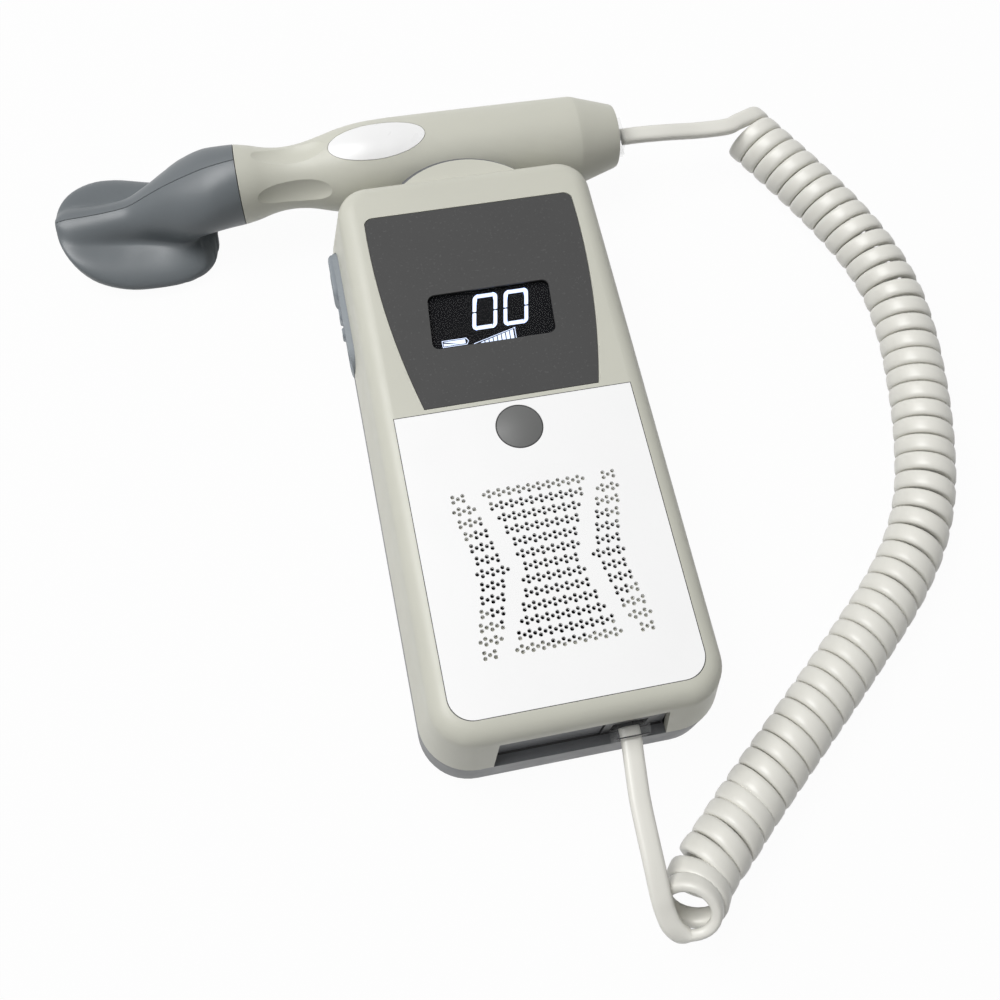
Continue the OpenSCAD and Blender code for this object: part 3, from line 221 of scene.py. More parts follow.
def material(name, colour, rough, vary=0.03, blotch=60, grain=0.0, grain_scale=2600, rough_vary=0.05,
             speck=None, **fixed):
    """Principled material: slow colour drift, uneven gloss, a fine grain and, where asked, light specks."""
    mat = bpy.data.materials.new(name)
    mat.use_nodes = True
    tree = mat.node_tree
    tree.nodes.clear()
    out = tree.nodes.new("ShaderNodeOutputMaterial")
    bsdf = tree.nodes.new("ShaderNodeBsdfPrincipled")
    tree.links.new(bsdf.outputs[0], out.inputs[0])
    coords = tree.nodes.new("ShaderNodeTexCoord").outputs["Object"]
    drift = noise(tree, coords, blotch, 4.0)
    dark, light = shade(colour, 1 - vary), shade(colour, 1 + vary)
    paint = colour_mix(tree, remap(tree, drift, 0.3, 0.7, 0, 1), dark, light)
    if speck:
        speck_colour, speck_share = speck
        dots = noise(tree, coords, grain_scale * 0.4, 2.0)
        paint = colour_mix(tree, remap(tree, dots, 0.62, 0.7, 0, speck_share), paint, speck_colour)
    tree.links.new(paint, bsdf.inputs["Base Color"])
    wear = noise(tree, coords, blotch * 2.7, 5.0, 0.6)
    gloss = remap(tree, wear, 0.3, 0.7, rough - rough_vary, rough + rough_vary)
    tree.links.new(gloss, bsdf.inputs["Roughness"])
    if grain:
        bump = tree.nodes.new("ShaderNodeBump")
        bump.inputs["Strength"].default_value = grain
        bump.inputs["Distance"].default_value = GRAIN_DEPTH
        tree.links.new(noise(tree, coords, grain_scale, 2.0), bump.inputs["Height"])
        tree.links.new(bump.outputs[0], bsdf.inputs["Normal"])
    for key, value in fixed.items():
        bsdf.inputs[key.replace("_", " ")].default_value = value
    return mat


def glow(name, colour, strength):
    """Material that shines in its own colour."""
    mat = material(name, colour, 0.4, vary=0.01)
    bsdf = next(n for n in mat.node_tree.nodes if n.type == "BSDF_PRINCIPLED")
    bsdf.inputs["Emission Color"].default_value = (*colour, 1)
    bsdf.inputs["Emission Strength"].default_value = strength
    return mat


# Mesh helpers

SKIN_ANGLE = 32


def new_piece(name, verts, faces, mat, body=None, smooth=True):
    """Piece from plain mesh data and the body that it rides."""
    mesh = bpy.data.meshes.new(name)
    mesh.from_pydata([tuple(v) for v in verts], [], faces)
    mesh.validate()
    piece = bpy.data.objects.new(name, mesh)
    scene.collection.objects.link(piece)
    bm = bmesh.new()
    bm.from_mesh(mesh)
    bmesh.ops.recalc_face_normals(bm, faces=bm.faces)
    bm.to_mesh(mesh)
    bm.free()
    mesh.polygons.foreach_set("use_smooth", [smooth] * len(mesh.polygons))
    mesh.materials.append(mat)
    if body:
        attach(piece, body)
    return piece


def loft_faces(rows, per):
    """Faces that join rings of points to a skin with closed ends."""
    faces = []
    for i in range(rows - 1):
        for j in range(per):
            k = (j + 1) % per
            faces.append((i * per + j, i * per + k, (i + 1) * per + k, (i + 1) * per + j))
    faces.append(tuple(range(per - 1, -1, -1)))
    faces.append(tuple((rows - 1) * per + j for j in range(per)))
    return faces


def shade_soft(bm, angle):
    """Smooth shading with hard edges where the faces turn by more than the angle."""
    limit = math.radians(angle)
    for f in bm.faces:
        f.smooth = True
    for e in bm.edges:
        e.smooth = len(e.link_faces) == 2 and e.calc_face_angle(0) < limit


def smooth_copy(node, mat):
    """A piece of the node's own shape with soft shading, which stands for the node."""
    source = frame["nodes"][node]
    mesh = source.data.copy()
    piece = bpy.data.objects.new(node + "_skin", mesh)
    scene.collection.objects.link(piece)
    bm = bmesh.new()
    bm.from_mesh(mesh)
    bmesh.ops.remove_doubles(bm, verts=bm.verts, dist=2e-6)
    bmesh.ops.dissolve_degenerate(bm, edges=bm.edges, dist=1e-7)
    shade_soft(bm, SKIN_ANGLE)
    bm.to_mesh(mesh)
    bm.free()
    for layer in [a.name for a in mesh.attributes if a.name == "custom_normal"]:
        mesh.attributes.remove(mesh.attributes[layer])
    mesh.materials.clear()
    mesh.materials.append(mat)
    weighted = piece.modifiers.new("weighted", "WEIGHTED_NORMAL")
    weighted.keep_sharp = True
    weighted.weight = 100
    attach(piece, source["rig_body"])
    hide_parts(node)
    return piece


# Main sizes of the solids in mm, from the part's source

HALF_L = 71
PANEL_Y = -HALF_L + 2.7
NOTCH_HALF = 18.4
SEAM_Z = 14.4
JACK_X = 10.2
JACK_Z = 15.6
JACK_W, JACK_H = 11.2, 10.6
PLUG_OUT = 3.1
AXIS_Y = HALF_L + 14.1
AXIS_Z = 16.2
TAIL_WALL_X = 45 - 0.6
WALL_X = -33.3
UP = Vector((0, 0, 1))


# The cord: the route and curls of the solids, cut finer, with last curls of its own

CORD_W = 4.45
CORD_T = 2.4
CORD_SIDES = 18
CORD_SQUARE = 4.0
COIL_D = 14.4
COIL_R = (COIL_D - CORD_T) / 2
PITCH = 4.64
TIGHT = 1.016
CURL_STEPS = 28
LEAD_STEPS = 8
ROUTE = [
    (85, 88, 0), (91, 77.5, 0), (97, 66.5, 0), (102.3, 55.5, 0), (106.6, 44, 0), (109, 32, 0),
    (109, 20, 0), (107.4, 8, 0), (105, -4, 0), (102, -15, 0), (98, -26, 0), (92, -36.5, 0),
    (84, -46, 0), (75, -54.5, 0), (64, -64, 0), (52, -74, 0), (40, -84, 0), (31, -91.6, 0),
    (25.4, -96.8, 0.2), (20.6, -101.4, 1.7)
]
# The last curls, which the lead lifts and tilts. A scratch program fitted these rows to places read in the
# photo: one every LAST_STEP turns from LAST_START, with the centre, the direction of the axis and the extra
# turn in degrees. The coil ends LAST_CUT of a turn before the last row.
LAST_START, LAST_STEP, LAST_CUT = 42.48, 0.43, 0.12
ROW_STEPS = 6
LAST_CURLS = [
    (34.71, -88.43, 7.29, -0.765, -0.644, 0.000, 0.0),
    (33.16, -89.74, 7.39, -0.756, -0.647, 0.099, 0.4),
    (31.62, -91.07, 7.66, -0.748, -0.645, 0.157, 1.1),
    (30.08, -92.40, 7.99, -0.748, -0.644, 0.160, 2.2),
    (28.56, -93.70, 8.32, -0.752, -0.640, 0.155, 3.7),
    (27.04, -94.98, 8.62, -0.760, -0.635, 0.142, 4.8),
    (25.47, -96.27, 8.87, -0.775, -0.623, 0.103, 5.6),
    (23.83, -97.58, 9.08, -0.774, -0.625, 0.106, 6.7),
    (22.16, -98.96, 9.35, -0.753, -0.642, 0.143, 7.9),
    (20.51, -100.46, 9.73, -0.697, -0.689, 0.198, 0.8),
    (18.96, -102.12, 10.31, -0.629, -0.712, 0.313, -11.4),
    (17.51, -103.83, 11.30, -0.551, -0.681, 0.484, -17.9),
    (16.31, -105.40, 12.58, -0.469, -0.648, 0.600, -4.0),
    (15.35, -106.68, 13.90, -0.468, -0.569, 0.677, 10.4),
    (14.53, -107.62, 15.38, -0.328, -0.355, 0.875, 12.7),
]
# Near its end the coil closes in by END_CLOSE mm, and its face goes END_TURN of the way to facing up
END_CLOSE, CLOSE_FROM, CLOSE_SPAN = 0.9, 0.53, 0.35
END_TURN, TURN_SPAN = 0.25, 0.28
END_SIDE = 0.02
# How far the probe lead's and the case lead's ends stand off the coil, and the overlap of the latter in turns
START_RUN, END_RUN = 4.6, 0.3
LEAD_OVERLAP = 0.06


def spline_at(a, b, c, d, t):
    """Catmull-Rom value between the rows b and c."""
    return tuple(0.5 * (2 * q + (r - p) * t + (2 * p - 5 * q + 4 * r - s) * t * t
                        + (3 * q - p - 3 * r + s) * t ** 3) for p, q, r, s in zip(a, b, c, d))


def spline(points, steps):
    """Smooth line through rows of numbers."""
    first = tuple(2 * p - q for p, q in zip(points[0], points[1]))
    end = tuple(2 * p - q for p, q in zip(points[-1], points[-2]))
    q = [first, *points, end]
    line = [spline_at(*q[i:i + 4], k / steps) for i in range(len(points) - 1) for k in range(steps)]
    return line + [tuple(points[-1])]


def look_up(x, xs, ys):
    """Value at x on the broken line through (xs, ys)."""
    for i in range(1, len(xs)):
        if x <= xs[i]:
            t = (x - xs[i - 1]) / (xs[i] - xs[i - 1])
            return ys[i - 1] + (ys[i] - ys[i - 1]) * max(t, 0)
    return ys[-1]


def clamp(v, low=0.0, high=1.0):
    return max(low, min(high, v))


def ease(t):
    """0 to 1 with a soft start and end."""
    t = clamp(t)
    return t * t * (3 - 2 * t)


class Coil:
    """Curls along the route: the inside of a bend keeps the pitch."""

    def __init__(self):
        self.line = line = [Vector((x, y, z + COIL_D / 2 + 0.1)) for x, y, z in spline(ROUTE, 8)]
        bend = [0.0] * len(line)
        for i in range(1, len(line) - 1):
            a, b = line[i] - line[i - 1], line[i + 1] - line[i]
            bend[i] = a.normalized().cross(b.normalized()).length * 2 / (a.length + b.length)
        self.turns = [0.0]
        for i in range(1, len(line)):
            inside = 1 - COIL_D / 2 * (bend[i] + bend[i - 1]) / 2
            self.turns.append(self.turns[-1] + (line[i] - line[i - 1]).length * inside / PITCH)
        self.last = spline(LAST_CURLS, ROW_STEPS)
        self.total = LAST_START + LAST_STEP * (len(LAST_CURLS) - 1) - LAST_CUT

    def last_row(self, turn):
        """Centre, axis and extra turn in the free last curls."""
        t = clamp((turn - LAST_START) / LAST_STEP * ROW_STEPS, 0, len(self.last) - 1.001)
        i = int(t)
        return [a + (b - a) * (t - i) for a, b in zip(self.last[i], self.last[i + 1])]

    def mid(self, turn):
        """Point on the coil's axis."""
        if turn > LAST_START:
            return Vector(self.last_row(turn)[:3])
        t = turn * TIGHT
        return Vector([look_up(t, self.turns, [p[k] for p in self.line]) for k in range(3)])

    def out(self, turn):
        """Direction from the axis to the cord."""
        a = 2 * math.pi * turn
        if turn > LAST_START:
            row = self.last_row(turn)
            ahead = Vector(row[3:6]).normalized()
            a += math.radians(row[6])
        else:
            ahead = (self.mid(turn + 0.4) - self.mid(max(turn - 0.4, 0))).normalized()
        left = UP.cross(ahead).normalized()
        return math.cos(a) * ahead.cross(left) + math.sin(a) * left

    def face(self, turn):
        """The broad face looks outward; over the last part it begins to turn up towards the case lead."""
        share = END_TURN * ease((turn - self.total + TURN_SPAN) / TURN_SPAN)
        return turn_up(self.out(turn), self.ahead(min(turn, self.total - END_SIDE)), share)

    def point(self, turn):
        """Centre of the cord's section."""
        close = END_CLOSE * ease((turn - self.total + CLOSE_FROM) / CLOSE_SPAN)
        return self.mid(turn) + (COIL_R - close) * self.out(turn)

    def ahead(self, turn):
        """Direction of the cord."""
        return (self.point(turn + 0.01) - self.point(turn - 0.01)).normalized()


def turn_up(out, way, share):
    """Turn a face direction about the cord by a share of the angle that brings it up."""
    if share == 0:
        return out
    out = (out - out.dot(way) * way).normalized()
    up = (UP - UP.dot(way) * way).normalized()
    angle = math.atan2(way.dot(out.cross(up)), out.dot(up))
    return Quaternion(way, angle * share) @ out


def cord_section(across, out, at):
    """Flat cord with round edges and a slightly domed broad face."""
    ring = []
    for k in range(CORD_SIDES):
        a = 2 * math.pi * k / CORD_SIDES
        c, s = math.cos(a), math.sin(a)
        r = (abs(c) ** CORD_SQUARE + abs(s) ** CORD_SQUARE) ** (-1 / CORD_SQUARE)
        ring.append(at + across * (r * c * CORD_W / 2) + out * (r * s * CORD_T / 2))
    return ring


def lead_line(points):
    """Centres and face directions along a flat lead."""
    line = spline([tuple(p) + tuple(f) for p, f in points], LEAD_STEPS)
    return [(Vector(p[:3]), Vector(p[3:])) for p in line]


def make_cord(mat):
    """The whole cord: case lead, curls and probe lead as one piece that spans case and probe."""
    coil = Coil()
    start_way, end_way = coil.ahead(END_SIDE), coil.ahead(coil.total - END_SIDE)
    start = coil.point(0) - START_RUN * start_way
    end = coil.point(coil.total) + END_RUN * end_way
    case_exit = Vector((JACK_X, PANEL_Y - PLUG_OUT, 19.6))
    probe_exit = Vector((TAIL_WALL_X + PLUG_OUT, AXIS_Y, 15.3))
    last = coil.out(coil.total)
    inner = coil.total - LEAD_OVERLAP
    # The last point lies on the coil, so that the lead joins it without a kink, and its steps are left out
    case_side = lead_line([
        (case_exit + Vector((0, 2.3, 0)), UP), (case_exit, UP), ((9.9, -74.3, 19.5), UP),
        ((9.51, -78.1, 19.4), UP), ((8.96, -84.2, 19.2), UP), ((8.8, -91.2, 18.9), UP),
        ((8.8, -98.2, 18.2), UP), ((8.92, -103.3, 16.8), turn_up(last, end_way, 1)),
        ((9.37, -106.3, 15.4), turn_up(last, end_way, 0.92)),
        ((10.34, -109.2, 14), turn_up(last, end_way, 0.7)),
        ((12.43, -111.35, 12.7), turn_up(last, end_way, 0.45)),
        (end, coil.face(coil.total)), (coil.point(inner), coil.face(inner))])[:-LEAD_STEPS]
    probe_side = lead_line([
        (probe_exit, UP), (probe_exit + Vector((5, 0, 0)), UP), ((60, 84.9, 15.1), UP),
        ((69, 84.9, 14.2), UP), (start - 4 * start_way, coil.out(0)), (start, coil.out(0))])
    n = round(coil.total * CURL_STEPS)
    curls = [(coil.point(coil.total * i / n), coil.face(coil.total * i / n)) for i in range(n + 1)]
    stations = case_side + list(reversed(curls)) + list(reversed(probe_side))
    centres = [s[0] for s in stations]
    rings = []
    for i, (p, face) in enumerate(stations):
        way = (centres[min(i + 1, len(centres) - 1)] - centres[max(i - 1, 0)]).normalized()
        across = way.cross(face).normalized()
        rings += cord_section(across, across.cross(way).normalized(), p)
    verts = [v * MM for v in rings]
    cord = new_piece("cord", verts, loft_faces(len(stations), CORD_SIDES), mat)
    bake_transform(cord, "case", "probe", start=(0.094, -0.060, 0.01), end=(0.094, 0.072, 0.01))
    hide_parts("case_lead", "curly_cord", "probe_lead")


# The probe's head: a finer and softer form of the solids' blended skin, in two halves with a thin seam

HEAD_RAYS = 96
JOINT_X = -53.5
JOINT_GAP = 0.2
SEAM_HALF = 0.05
SEAM_BEVEL = 0.09
WIDE_X = JOINT_X - 26.5
TOE_X = WIDE_X - 21.3
HEEL_X = WIDE_X + 18.5
TOE_START = WIDE_X + 6
FACE_R = 13
SOLE_END = WIDE_X - FACE_R
HALF_WIDTH, FAR_TRIM = 17.9, 0.2
TOE_POWER, POWER_RISE = 2.3, 0.9
RIM_Z, TOE_Z, CROWN, SOLE_Z = 2.4, 8.6, 4.8, 0.5
THIN = 0.15
HEEL_SLOPE, HEEL_ROUND = 15, 4.4
SPIGOT_R, SPIGOT_L = 5.9, 8
POCKET_R, POCKET_L = FACE_R + 0.15, 10
POCKET_TOP = SOLE_Z + 3.6
CHANNEL_R, CHANNEL_L = 2, 60
CHANNEL_START = WIDE_X + 14
# The neck behind the joint, from its end: X, top, bottom and half width, the heights from the axis
NECK = [
    (0, 9.9, -9.9, 9.9), (-3.5, 9.2, -9.6, 10.5), (-8.5, 7.8, -9.6, 11.2), (-14.5, 5.3, -11.7, 10.6),
    (-19.5, 2.8, -13.2, 8.6), (-23.5, 0.4, -13.6, 7), (-28.5, -2.6, -13.6, 5.6), (-32.5, -3.8, -13.4, 5),
    (-38.5, -4.9, -12.6, 4.6), (-44.5, -6, -11.2, 4), (-47.8, -7.4, -7.9, 0.8)
]


def paddle_slice(x):
    """Half width, rim, crown and sole heights and the far side's share of width."""
    dx = min(x, HEEL_X) - WIDE_X
    p = TOE_POWER + POWER_RISE * ease((dx + 9) / 18)
    c = clamp(abs(dx) / (WIDE_X - TOE_X if dx < 0 else HEEL_X - WIDE_X), 0, 0.9999)
    toe = clamp((TOE_START - x) / (TOE_START - TOE_X))
    heel = clamp((x - HEEL_X + HEEL_SLOPE) / HEEL_SLOPE, 0, 0.9999)
    rim = RIM_Z + (TOE_Z - RIM_Z) * toe ** 2.4
    crown = CROWN * math.sqrt(1 - toe ** 2.6) * math.sqrt(1 - heel ** 2.2)
    sole = (SOLE_Z + (TOE_Z - SOLE_Z) * 0.98 * clamp((SOLE_END - x) / (SOLE_END - TOE_X)) ** 2
            + (RIM_Z - SOLE_Z) * 0.9 * clamp((x - HEEL_X + HEEL_ROUND) / HEEL_ROUND) ** 2)
    wide = max(HALF_WIDTH * (1 - c ** p) ** (1 / p), 0.05)
    far = 1 - FAR_TRIM * ease((x - WIDE_X + 14) / 22)
    return wide, rim, rim + max(crown, THIN), min(sole, rim - THIN), far


def skin_depth(y, z, paddle, neck, beyond, soft):
    """Signed distance of a point in a slice from the blend of paddle and neck."""
    wide, rim, crown, sole, far = paddle
    dip = 1 - 0.3 * math.exp(-((abs(y) - 5.5) / 4) ** 2)
    t, m = ((z - rim) / ((crown - rim) * dip), 2) if z > rim else ((rim - z) / (rim - sole), 3)
    v = ((abs(y) / (wide * far if y > 0 else wide)) ** m + t ** m) ** (1 / m)
    near = math.hypot(y, z - rim) * (1 - 1 / max(v, 1e-4))
    if beyond > 0:
        near = math.hypot(max(near, 0), beyond)
    mid, half = (neck[0] + neck[1]) / 2, (neck[0] - neck[1]) / 2
    e = math.hypot(y / neck[2], (z - mid) / half)
    to_neck = math.hypot(y, z - mid) * (1 - 1 / max(e, 1e-4))
    h = max(soft - abs(near - to_neck), 0) / soft
    return min(near, to_neck) - h * h * soft / 4


def head_ring(x, neck_line):
    """Outline of the head at X, found by halving along rays from a spine inside it."""
    paddle = paddle_slice(x)
    xs = [-p[0] for p in neck_line]
    neck = [AXIS_Z + look_up(JOINT_X - x, xs, [p[k] for p in neck_line]) for k in (1, 2)]
    neck.append(look_up(JOINT_X - x, xs, [p[3] for p in neck_line]))
    soft = 6 * clamp((JOINT_X - x) / 8, 0.02, 1)
    squeeze = 1 - 0.62 * ease((JOINT_X - x) / 22)
    toe = clamp((WIDE_X + 2 - x) / (WIDE_X + 2 - TOE_X))
    spine = AXIS_Z + (6.5 + (TOE_Z - 6.5) * toe * toe - AXIS_Z) * ease((JOINT_X - x) / 8.5)
    ring = []
    for i in range(HEAD_RAYS):
        a = 2 * math.pi * i / HEAD_RAYS
        way = Vector((math.cos(a), math.sin(a) * squeeze)).normalized()
        low, high = 0.0, 30.0
        for _ in range(20):
            r = (low + high) / 2
            if skin_depth(r * way.x, spine + r * way.y, paddle, neck, max(x - HEEL_X, 0), soft) < 0:
                low = r
            else:
                high = r
        ring.append(Vector((x, AXIS_Y + low * way.x, spine + low * way.y)) * MM)
    return ring


def head_stations():
    """X of the head's rings, closer together at its tip and heel."""
    xs = [TOE_X + 0.03] + [TOE_X + 16.3 * (1 - math.cos(math.radians(a))) for a in range(6, 91, 6)]
    xs += [WIDE_X - 5 + (HEEL_X - 1 - WIDE_X) * i / 24 for i in range(1, 25)]
    xs += [HEEL_X - 6 * (1 - math.sin(math.radians(a))) for a in range(7, 91, 7)] + [HEEL_X]
    return xs + [HEEL_X + (JOINT_X - JOINT_GAP - HEEL_X) * i / 10 for i in range(1, 11)]


def cylinder_tool(name, radius, depth, at, turn=(0, 0, 0)):
    bpy.ops.mesh.primitive_cylinder_add(vertices=128, radius=radius * MM, depth=depth * MM,
                                        location=Vector(at) * MM, rotation=turn)
    tool = bpy.context.object
    tool.name = name
    return tool


def cut_mesh(piece, tools):
    """Apply booleans to a piece and take the tools away."""
    for tool, kind in tools:
        change = piece.modifiers.new(tool.name, "BOOLEAN")
        change.object = tool
        change.operation = kind
        change.solver = "EXACT"
    bpy.context.view_layer.update()
    shape = bpy.data.meshes.new_from_object(piece.evaluated_get(bpy.context.evaluated_depsgraph_get()))
    piece.modifiers.clear()
    piece.data = shape
    for tool, _ in tools:
        bpy.data.objects.remove(tool)


def soften(mesh, angle):
    bm = bmesh.new()
    bm.from_mesh(mesh)
    shade_soft(bm, angle)
    bm.to_mesh(mesh)
    bm.free()


def make_head(mat):
    """Both halves of the head, with the spigot in the handle, the face's pocket and the wire channel."""
    neck_line = spline(NECK, 6)
    rings = [head_ring(x, neck_line) for x in head_stations()]
    verts = [p for ring in rings for p in ring]
    along_x = (0, math.pi / 2, 0)
    spigot_at = (JOINT_X + 1, AXIS_Y, AXIS_Z)
    pocket_at = (WIDE_X, AXIS_Y, POCKET_TOP - POCKET_L / 2)
    channel_at = (CHANNEL_START + CHANNEL_L / 2, AXIS_Y, AXIS_Z)
    for side, node in ((-1, "head_front_half"), (1, "head_rear_half")):
        half = new_piece(node + "_skin", verts, loft_faces(len(rings), HEAD_RAYS), mat)
        cut_mesh(half, [
            (cylinder_tool("spigot", SPIGOT_R, SPIGOT_L, spigot_at, along_x), "UNION"),
            (cylinder_tool("pocket", POCKET_R, POCKET_L, pocket_at), "DIFFERENCE"),
            (cylinder_tool("channel", CHANNEL_R, CHANNEL_L, channel_at, along_x), "DIFFERENCE"),
        ])
        seam_y = AXIS_Y + side * SEAM_HALF
        bm = bmesh.new()
        bm.from_mesh(half.data)
        bmesh.ops.bisect_plane(bm, geom=bm.verts[:] + bm.edges[:] + bm.faces[:], dist=1e-7,
                               plane_co=Vector((0, seam_y, 0)) * MM, plane_no=(0, side, 0), clear_inner=True)
        rim = [e for e in bm.edges if len(e.link_faces) == 1]
        bmesh.ops.triangle_fill(bm, use_beauty=True, use_dissolve=False, edges=rim)
        bmesh.ops.recalc_face_normals(bm, faces=bm.faces)
        seam = [e for e in bm.edges if len(e.link_faces) == 2 and e.calc_face_angle(0) > math.radians(40)
                and all(abs(v.co.y / MM - seam_y) < 1e-3 for v in e.verts)]
        bmesh.ops.bevel(bm, geom=seam, offset=SEAM_BEVEL * MM, segments=1, affect="EDGES")
        bm.to_mesh(half.data)
        bm.free()
        soften(half.data, 40)
        half.data.materials.clear()
        half.data.materials.append(mat)
        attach(half, "probe")
        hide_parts(node)


# Softer forms of the handle's dimples and the side keys

DIMPLE = (11.5, 7, 6)
DIMPLE_AWAY = 7.8 + 6 - 0.95
KEY_ROUND = 0.5


def deepen_dimples(handle):
    """Long soft dimples for the fingers round the handle's waist."""
    tools = []
    for a in range(-8, 300, 72):
        bpy.ops.mesh.primitive_uv_sphere_add(segments=96, ring_count=64, radius=MM)
        tool = bpy.context.object
        tool.scale = DIMPLE
        turn = math.radians(a)
        tool.location = Vector((JOINT_X + 13, AXIS_Y - DIMPLE_AWAY * math.sin(turn),
                                AXIS_Z + DIMPLE_AWAY * math.cos(turn))) * MM
        tool.rotation_euler = (turn, 0, 0)
        tools.append((tool, "DIFFERENCE"))
    cut_mesh(handle, tools)
    soften(handle.data, 11)


def round_rim(piece, share):
    """Give a key or pad of the left wall round edges and low round ends, with a share of its height."""
    wall = WALL_X * MM
    bm = bmesh.new()
    bm.from_mesh(piece.data)
    bmesh.ops.dissolve_limit(bm, angle_limit=math.radians(1), verts=bm.verts, edges=bm.edges)
    ys = [v.co.y for v in bm.verts if v.co.x < wall]
    mid, half = (max(ys) + min(ys)) / 2, (max(ys) - min(ys)) / 2
    for v in bm.verts:
        if v.co.x < wall:
            v.co.x = wall + (v.co.x - wall) * share * (1 - 0.8 * abs((v.co.y - mid) / half) ** 6)
    low = min(v.co.x for v in bm.verts)
    rim = [e for e in bm.edges if len(e.link_faces) == 2 and e.calc_face_angle(0) > math.radians(50)
           and all(v.co.x < wall - 0.2 * (wall - low) for v in e.verts)]
    bmesh.ops.bevel(bm, geom=rim, offset=KEY_ROUND * MM, segments=4, profile=0.5, affect="EDGES",
                    clamp_overlap=True)
    bm.to_mesh(piece.data)
    bm.free()
    soften(piece.data, 35)


# Flat pieces: display characters, window corners, strips of painted shade in gaps and the jack's face

WINDOW_X, WINDOW_Y = -0.4, 27.5
WINDOW_W, WINDOW_L = 28.8, 14.3
WINDOW_LEAN = math.tan(math.radians(4.5))
WINDOW_R = 1.7
PLATE_R = 5.3
BUTTON_R = 5.07
# Widths of the black strips of painted shade round the plate and in the button's hole
PLATE_GAP_SHADE, BUTTON_GAP_SHADE = 0.16, 0.26
DIGIT_W, DIGIT_H, DIGIT_Y = 5.85, 9.3, 24.6
# The jack's hole for the plug: half width, and its low and high edge over the jack's foot
HOLE_HALF, HOLE_LOW, HOLE_TOP = 3.84, 1, 7.8
# The plug's dark end edge: half width, and its low and high edge
EDGE_HALF, EDGE_LOW, EDGE_TOP = 3.6, 21.8, 22.15


def prism(outline, z, thick):
    """Upright prism over an outline in mm, its top at height z."""
    n = len(outline)
    verts = [(x * MM, y * MM, level * MM) for level in (z - thick, z) for x, y in outline]
    faces = [tuple(range(n - 1, -1, -1)), tuple(range(n, 2 * n))]
    faces += [(i, (i + 1) % n, n + (i + 1) % n, n + i) for i in range(n)]
    return verts, faces


def prisms(outlines, z, thick):
    return [prism(outline, z, thick) for outline in outlines]


def block(low, high):
    """Box between two opposite corners in mm."""
    outline = [(low[0], low[1]), (high[0], low[1]), (high[0], high[1]), (low[0], high[1])]
    return prism(outline, high[2], high[2] - low[2])


def joined(name, parts, mat):
    """One piece on the case from many prisms."""
    verts, faces = [], []
    for part_verts, part_faces in parts:
        faces += [tuple(i + len(verts) for i in face) for face in part_faces]
        verts += part_verts
    return new_piece(name, verts, faces, mat, "case", smooth=False)


def lean(outline, y0, amount):
    """Slant an outline to the right above y0."""
    return [(x + (y - y0) * amount, y) for x, y in outline]


def corner(x, y, r, a0, a1, n=5):
    """Arc of n steps between two angles in degrees."""
    turns = [math.radians(a0 + (a1 - a0) * i / n) for i in range(n + 1)]
    return [(x + r * math.cos(a), y + r * math.sin(a)) for a in turns]


def digit_zero(x, y, w, h, t=1.0, gap=0.12, r=1.2):
    """The number nought: six segments with round outer corners that lean to the right."""
    mid = y + h / 2
    near, far = x + t + gap, x + w - t - gap
    left = [
        [(near, y), (far, y), (far, y + t), (near, y + t)],
        [(near, y + h - t), (far, y + h - t), (far, y + h), (near, y + h)],
        [*corner(x + r, y + r, r, 180, 270), (x + t - gap, y), (x + t - gap, mid - 0.25),
         (x + t / 2, mid - gap), (x, mid - 0.25)],
        [(x, mid + 0.25), (x + t / 2, mid + gap), (x + t - gap, mid + 0.25), (x + t - gap, y + h),
         *corner(x + r, y + h - r, r, 90, 180)],
    ]
    centre = x + w / 2
    right = [[(2 * centre - px, py) for px, py in reversed(part)] for part in left[2:]]
    return [lean(part, y, 0.205) for part in left + right]


def inset(p, cx, cy, t):
    """Move a point by t towards a centre in X and Y; one level with it stays level."""
    up = 0 if abs(p[1] - cy) < 1e-6 else t if p[1] < cy else -t
    return p[0] + (t if p[0] < cx else -t), p[1] + up


def battery_sign(x, y, w, h):
    """A lying cell: thin outline with a nose and a full charge."""
    t, nose, g = 0.13, 0.5, 0.32
    outer = [(x, y), (x + w, y), (x + w + nose, y + h / 2), (x + w, y + h), (x, y + h)]
    bars = [[outer[i], outer[(i + 1) % 5], inset(outer[(i + 1) % 5], x + w / 2, y + h / 2, t),
             inset(outer[i], x + w / 2, y + h / 2, t)] for i in range(5)]
    bars.append([(x + g, y + g), (x + w - g - 1.6, y + g), (x + g, y + h - g - 0.4)])
    bars.append([(x + g, y + h - g), (x + w - g - 1.35, y + g), (x + w - g, y + g), (x + w - g, y + h - g)])
    return [lean(part, y, 0.02) for part in bars]


def rising_bars(x, y, w, h):
    """Eight bars that grow to the right under a thin sloping line."""
    parts = [[(x, y), (x + w, y + h - 0.14), (x + w, y + h), (x, y + 0.14)],
             [(x + w - 0.14, y), (x + w, y), (x + w, y + h), (x + w - 0.14, y + h)]]
    for i in range(8):
        a = x + w * (0.17 + 0.1 * i)
        b = a + w * 0.078
        parts.append([(a, y), (b, y), (b, y + h * (b - x) / w - 0.32), (a, y + h * (a - x) / w - 0.32)])
    return [lean(part, y, 0.06) for part in parts]


def window_corners():
    """Four fillers that round the corners of the leaning window."""
    parts = []
    for i, j, start in ((1, 1, 0), (-1, 1, 90), (-1, -1, 180), (1, -1, 270)):
        x, y = WINDOW_X + i * WINDOW_W / 2, WINDOW_Y + j * WINDOW_L / 2
        arc = corner(x - i * WINDOW_R, y - j * WINDOW_R, WINDOW_R, start, start + 90, 8)
        parts.append([(x, y), *reversed(arc)])
    return [lean(part, WINDOW_Y, WINDOW_LEAN) for part in parts]


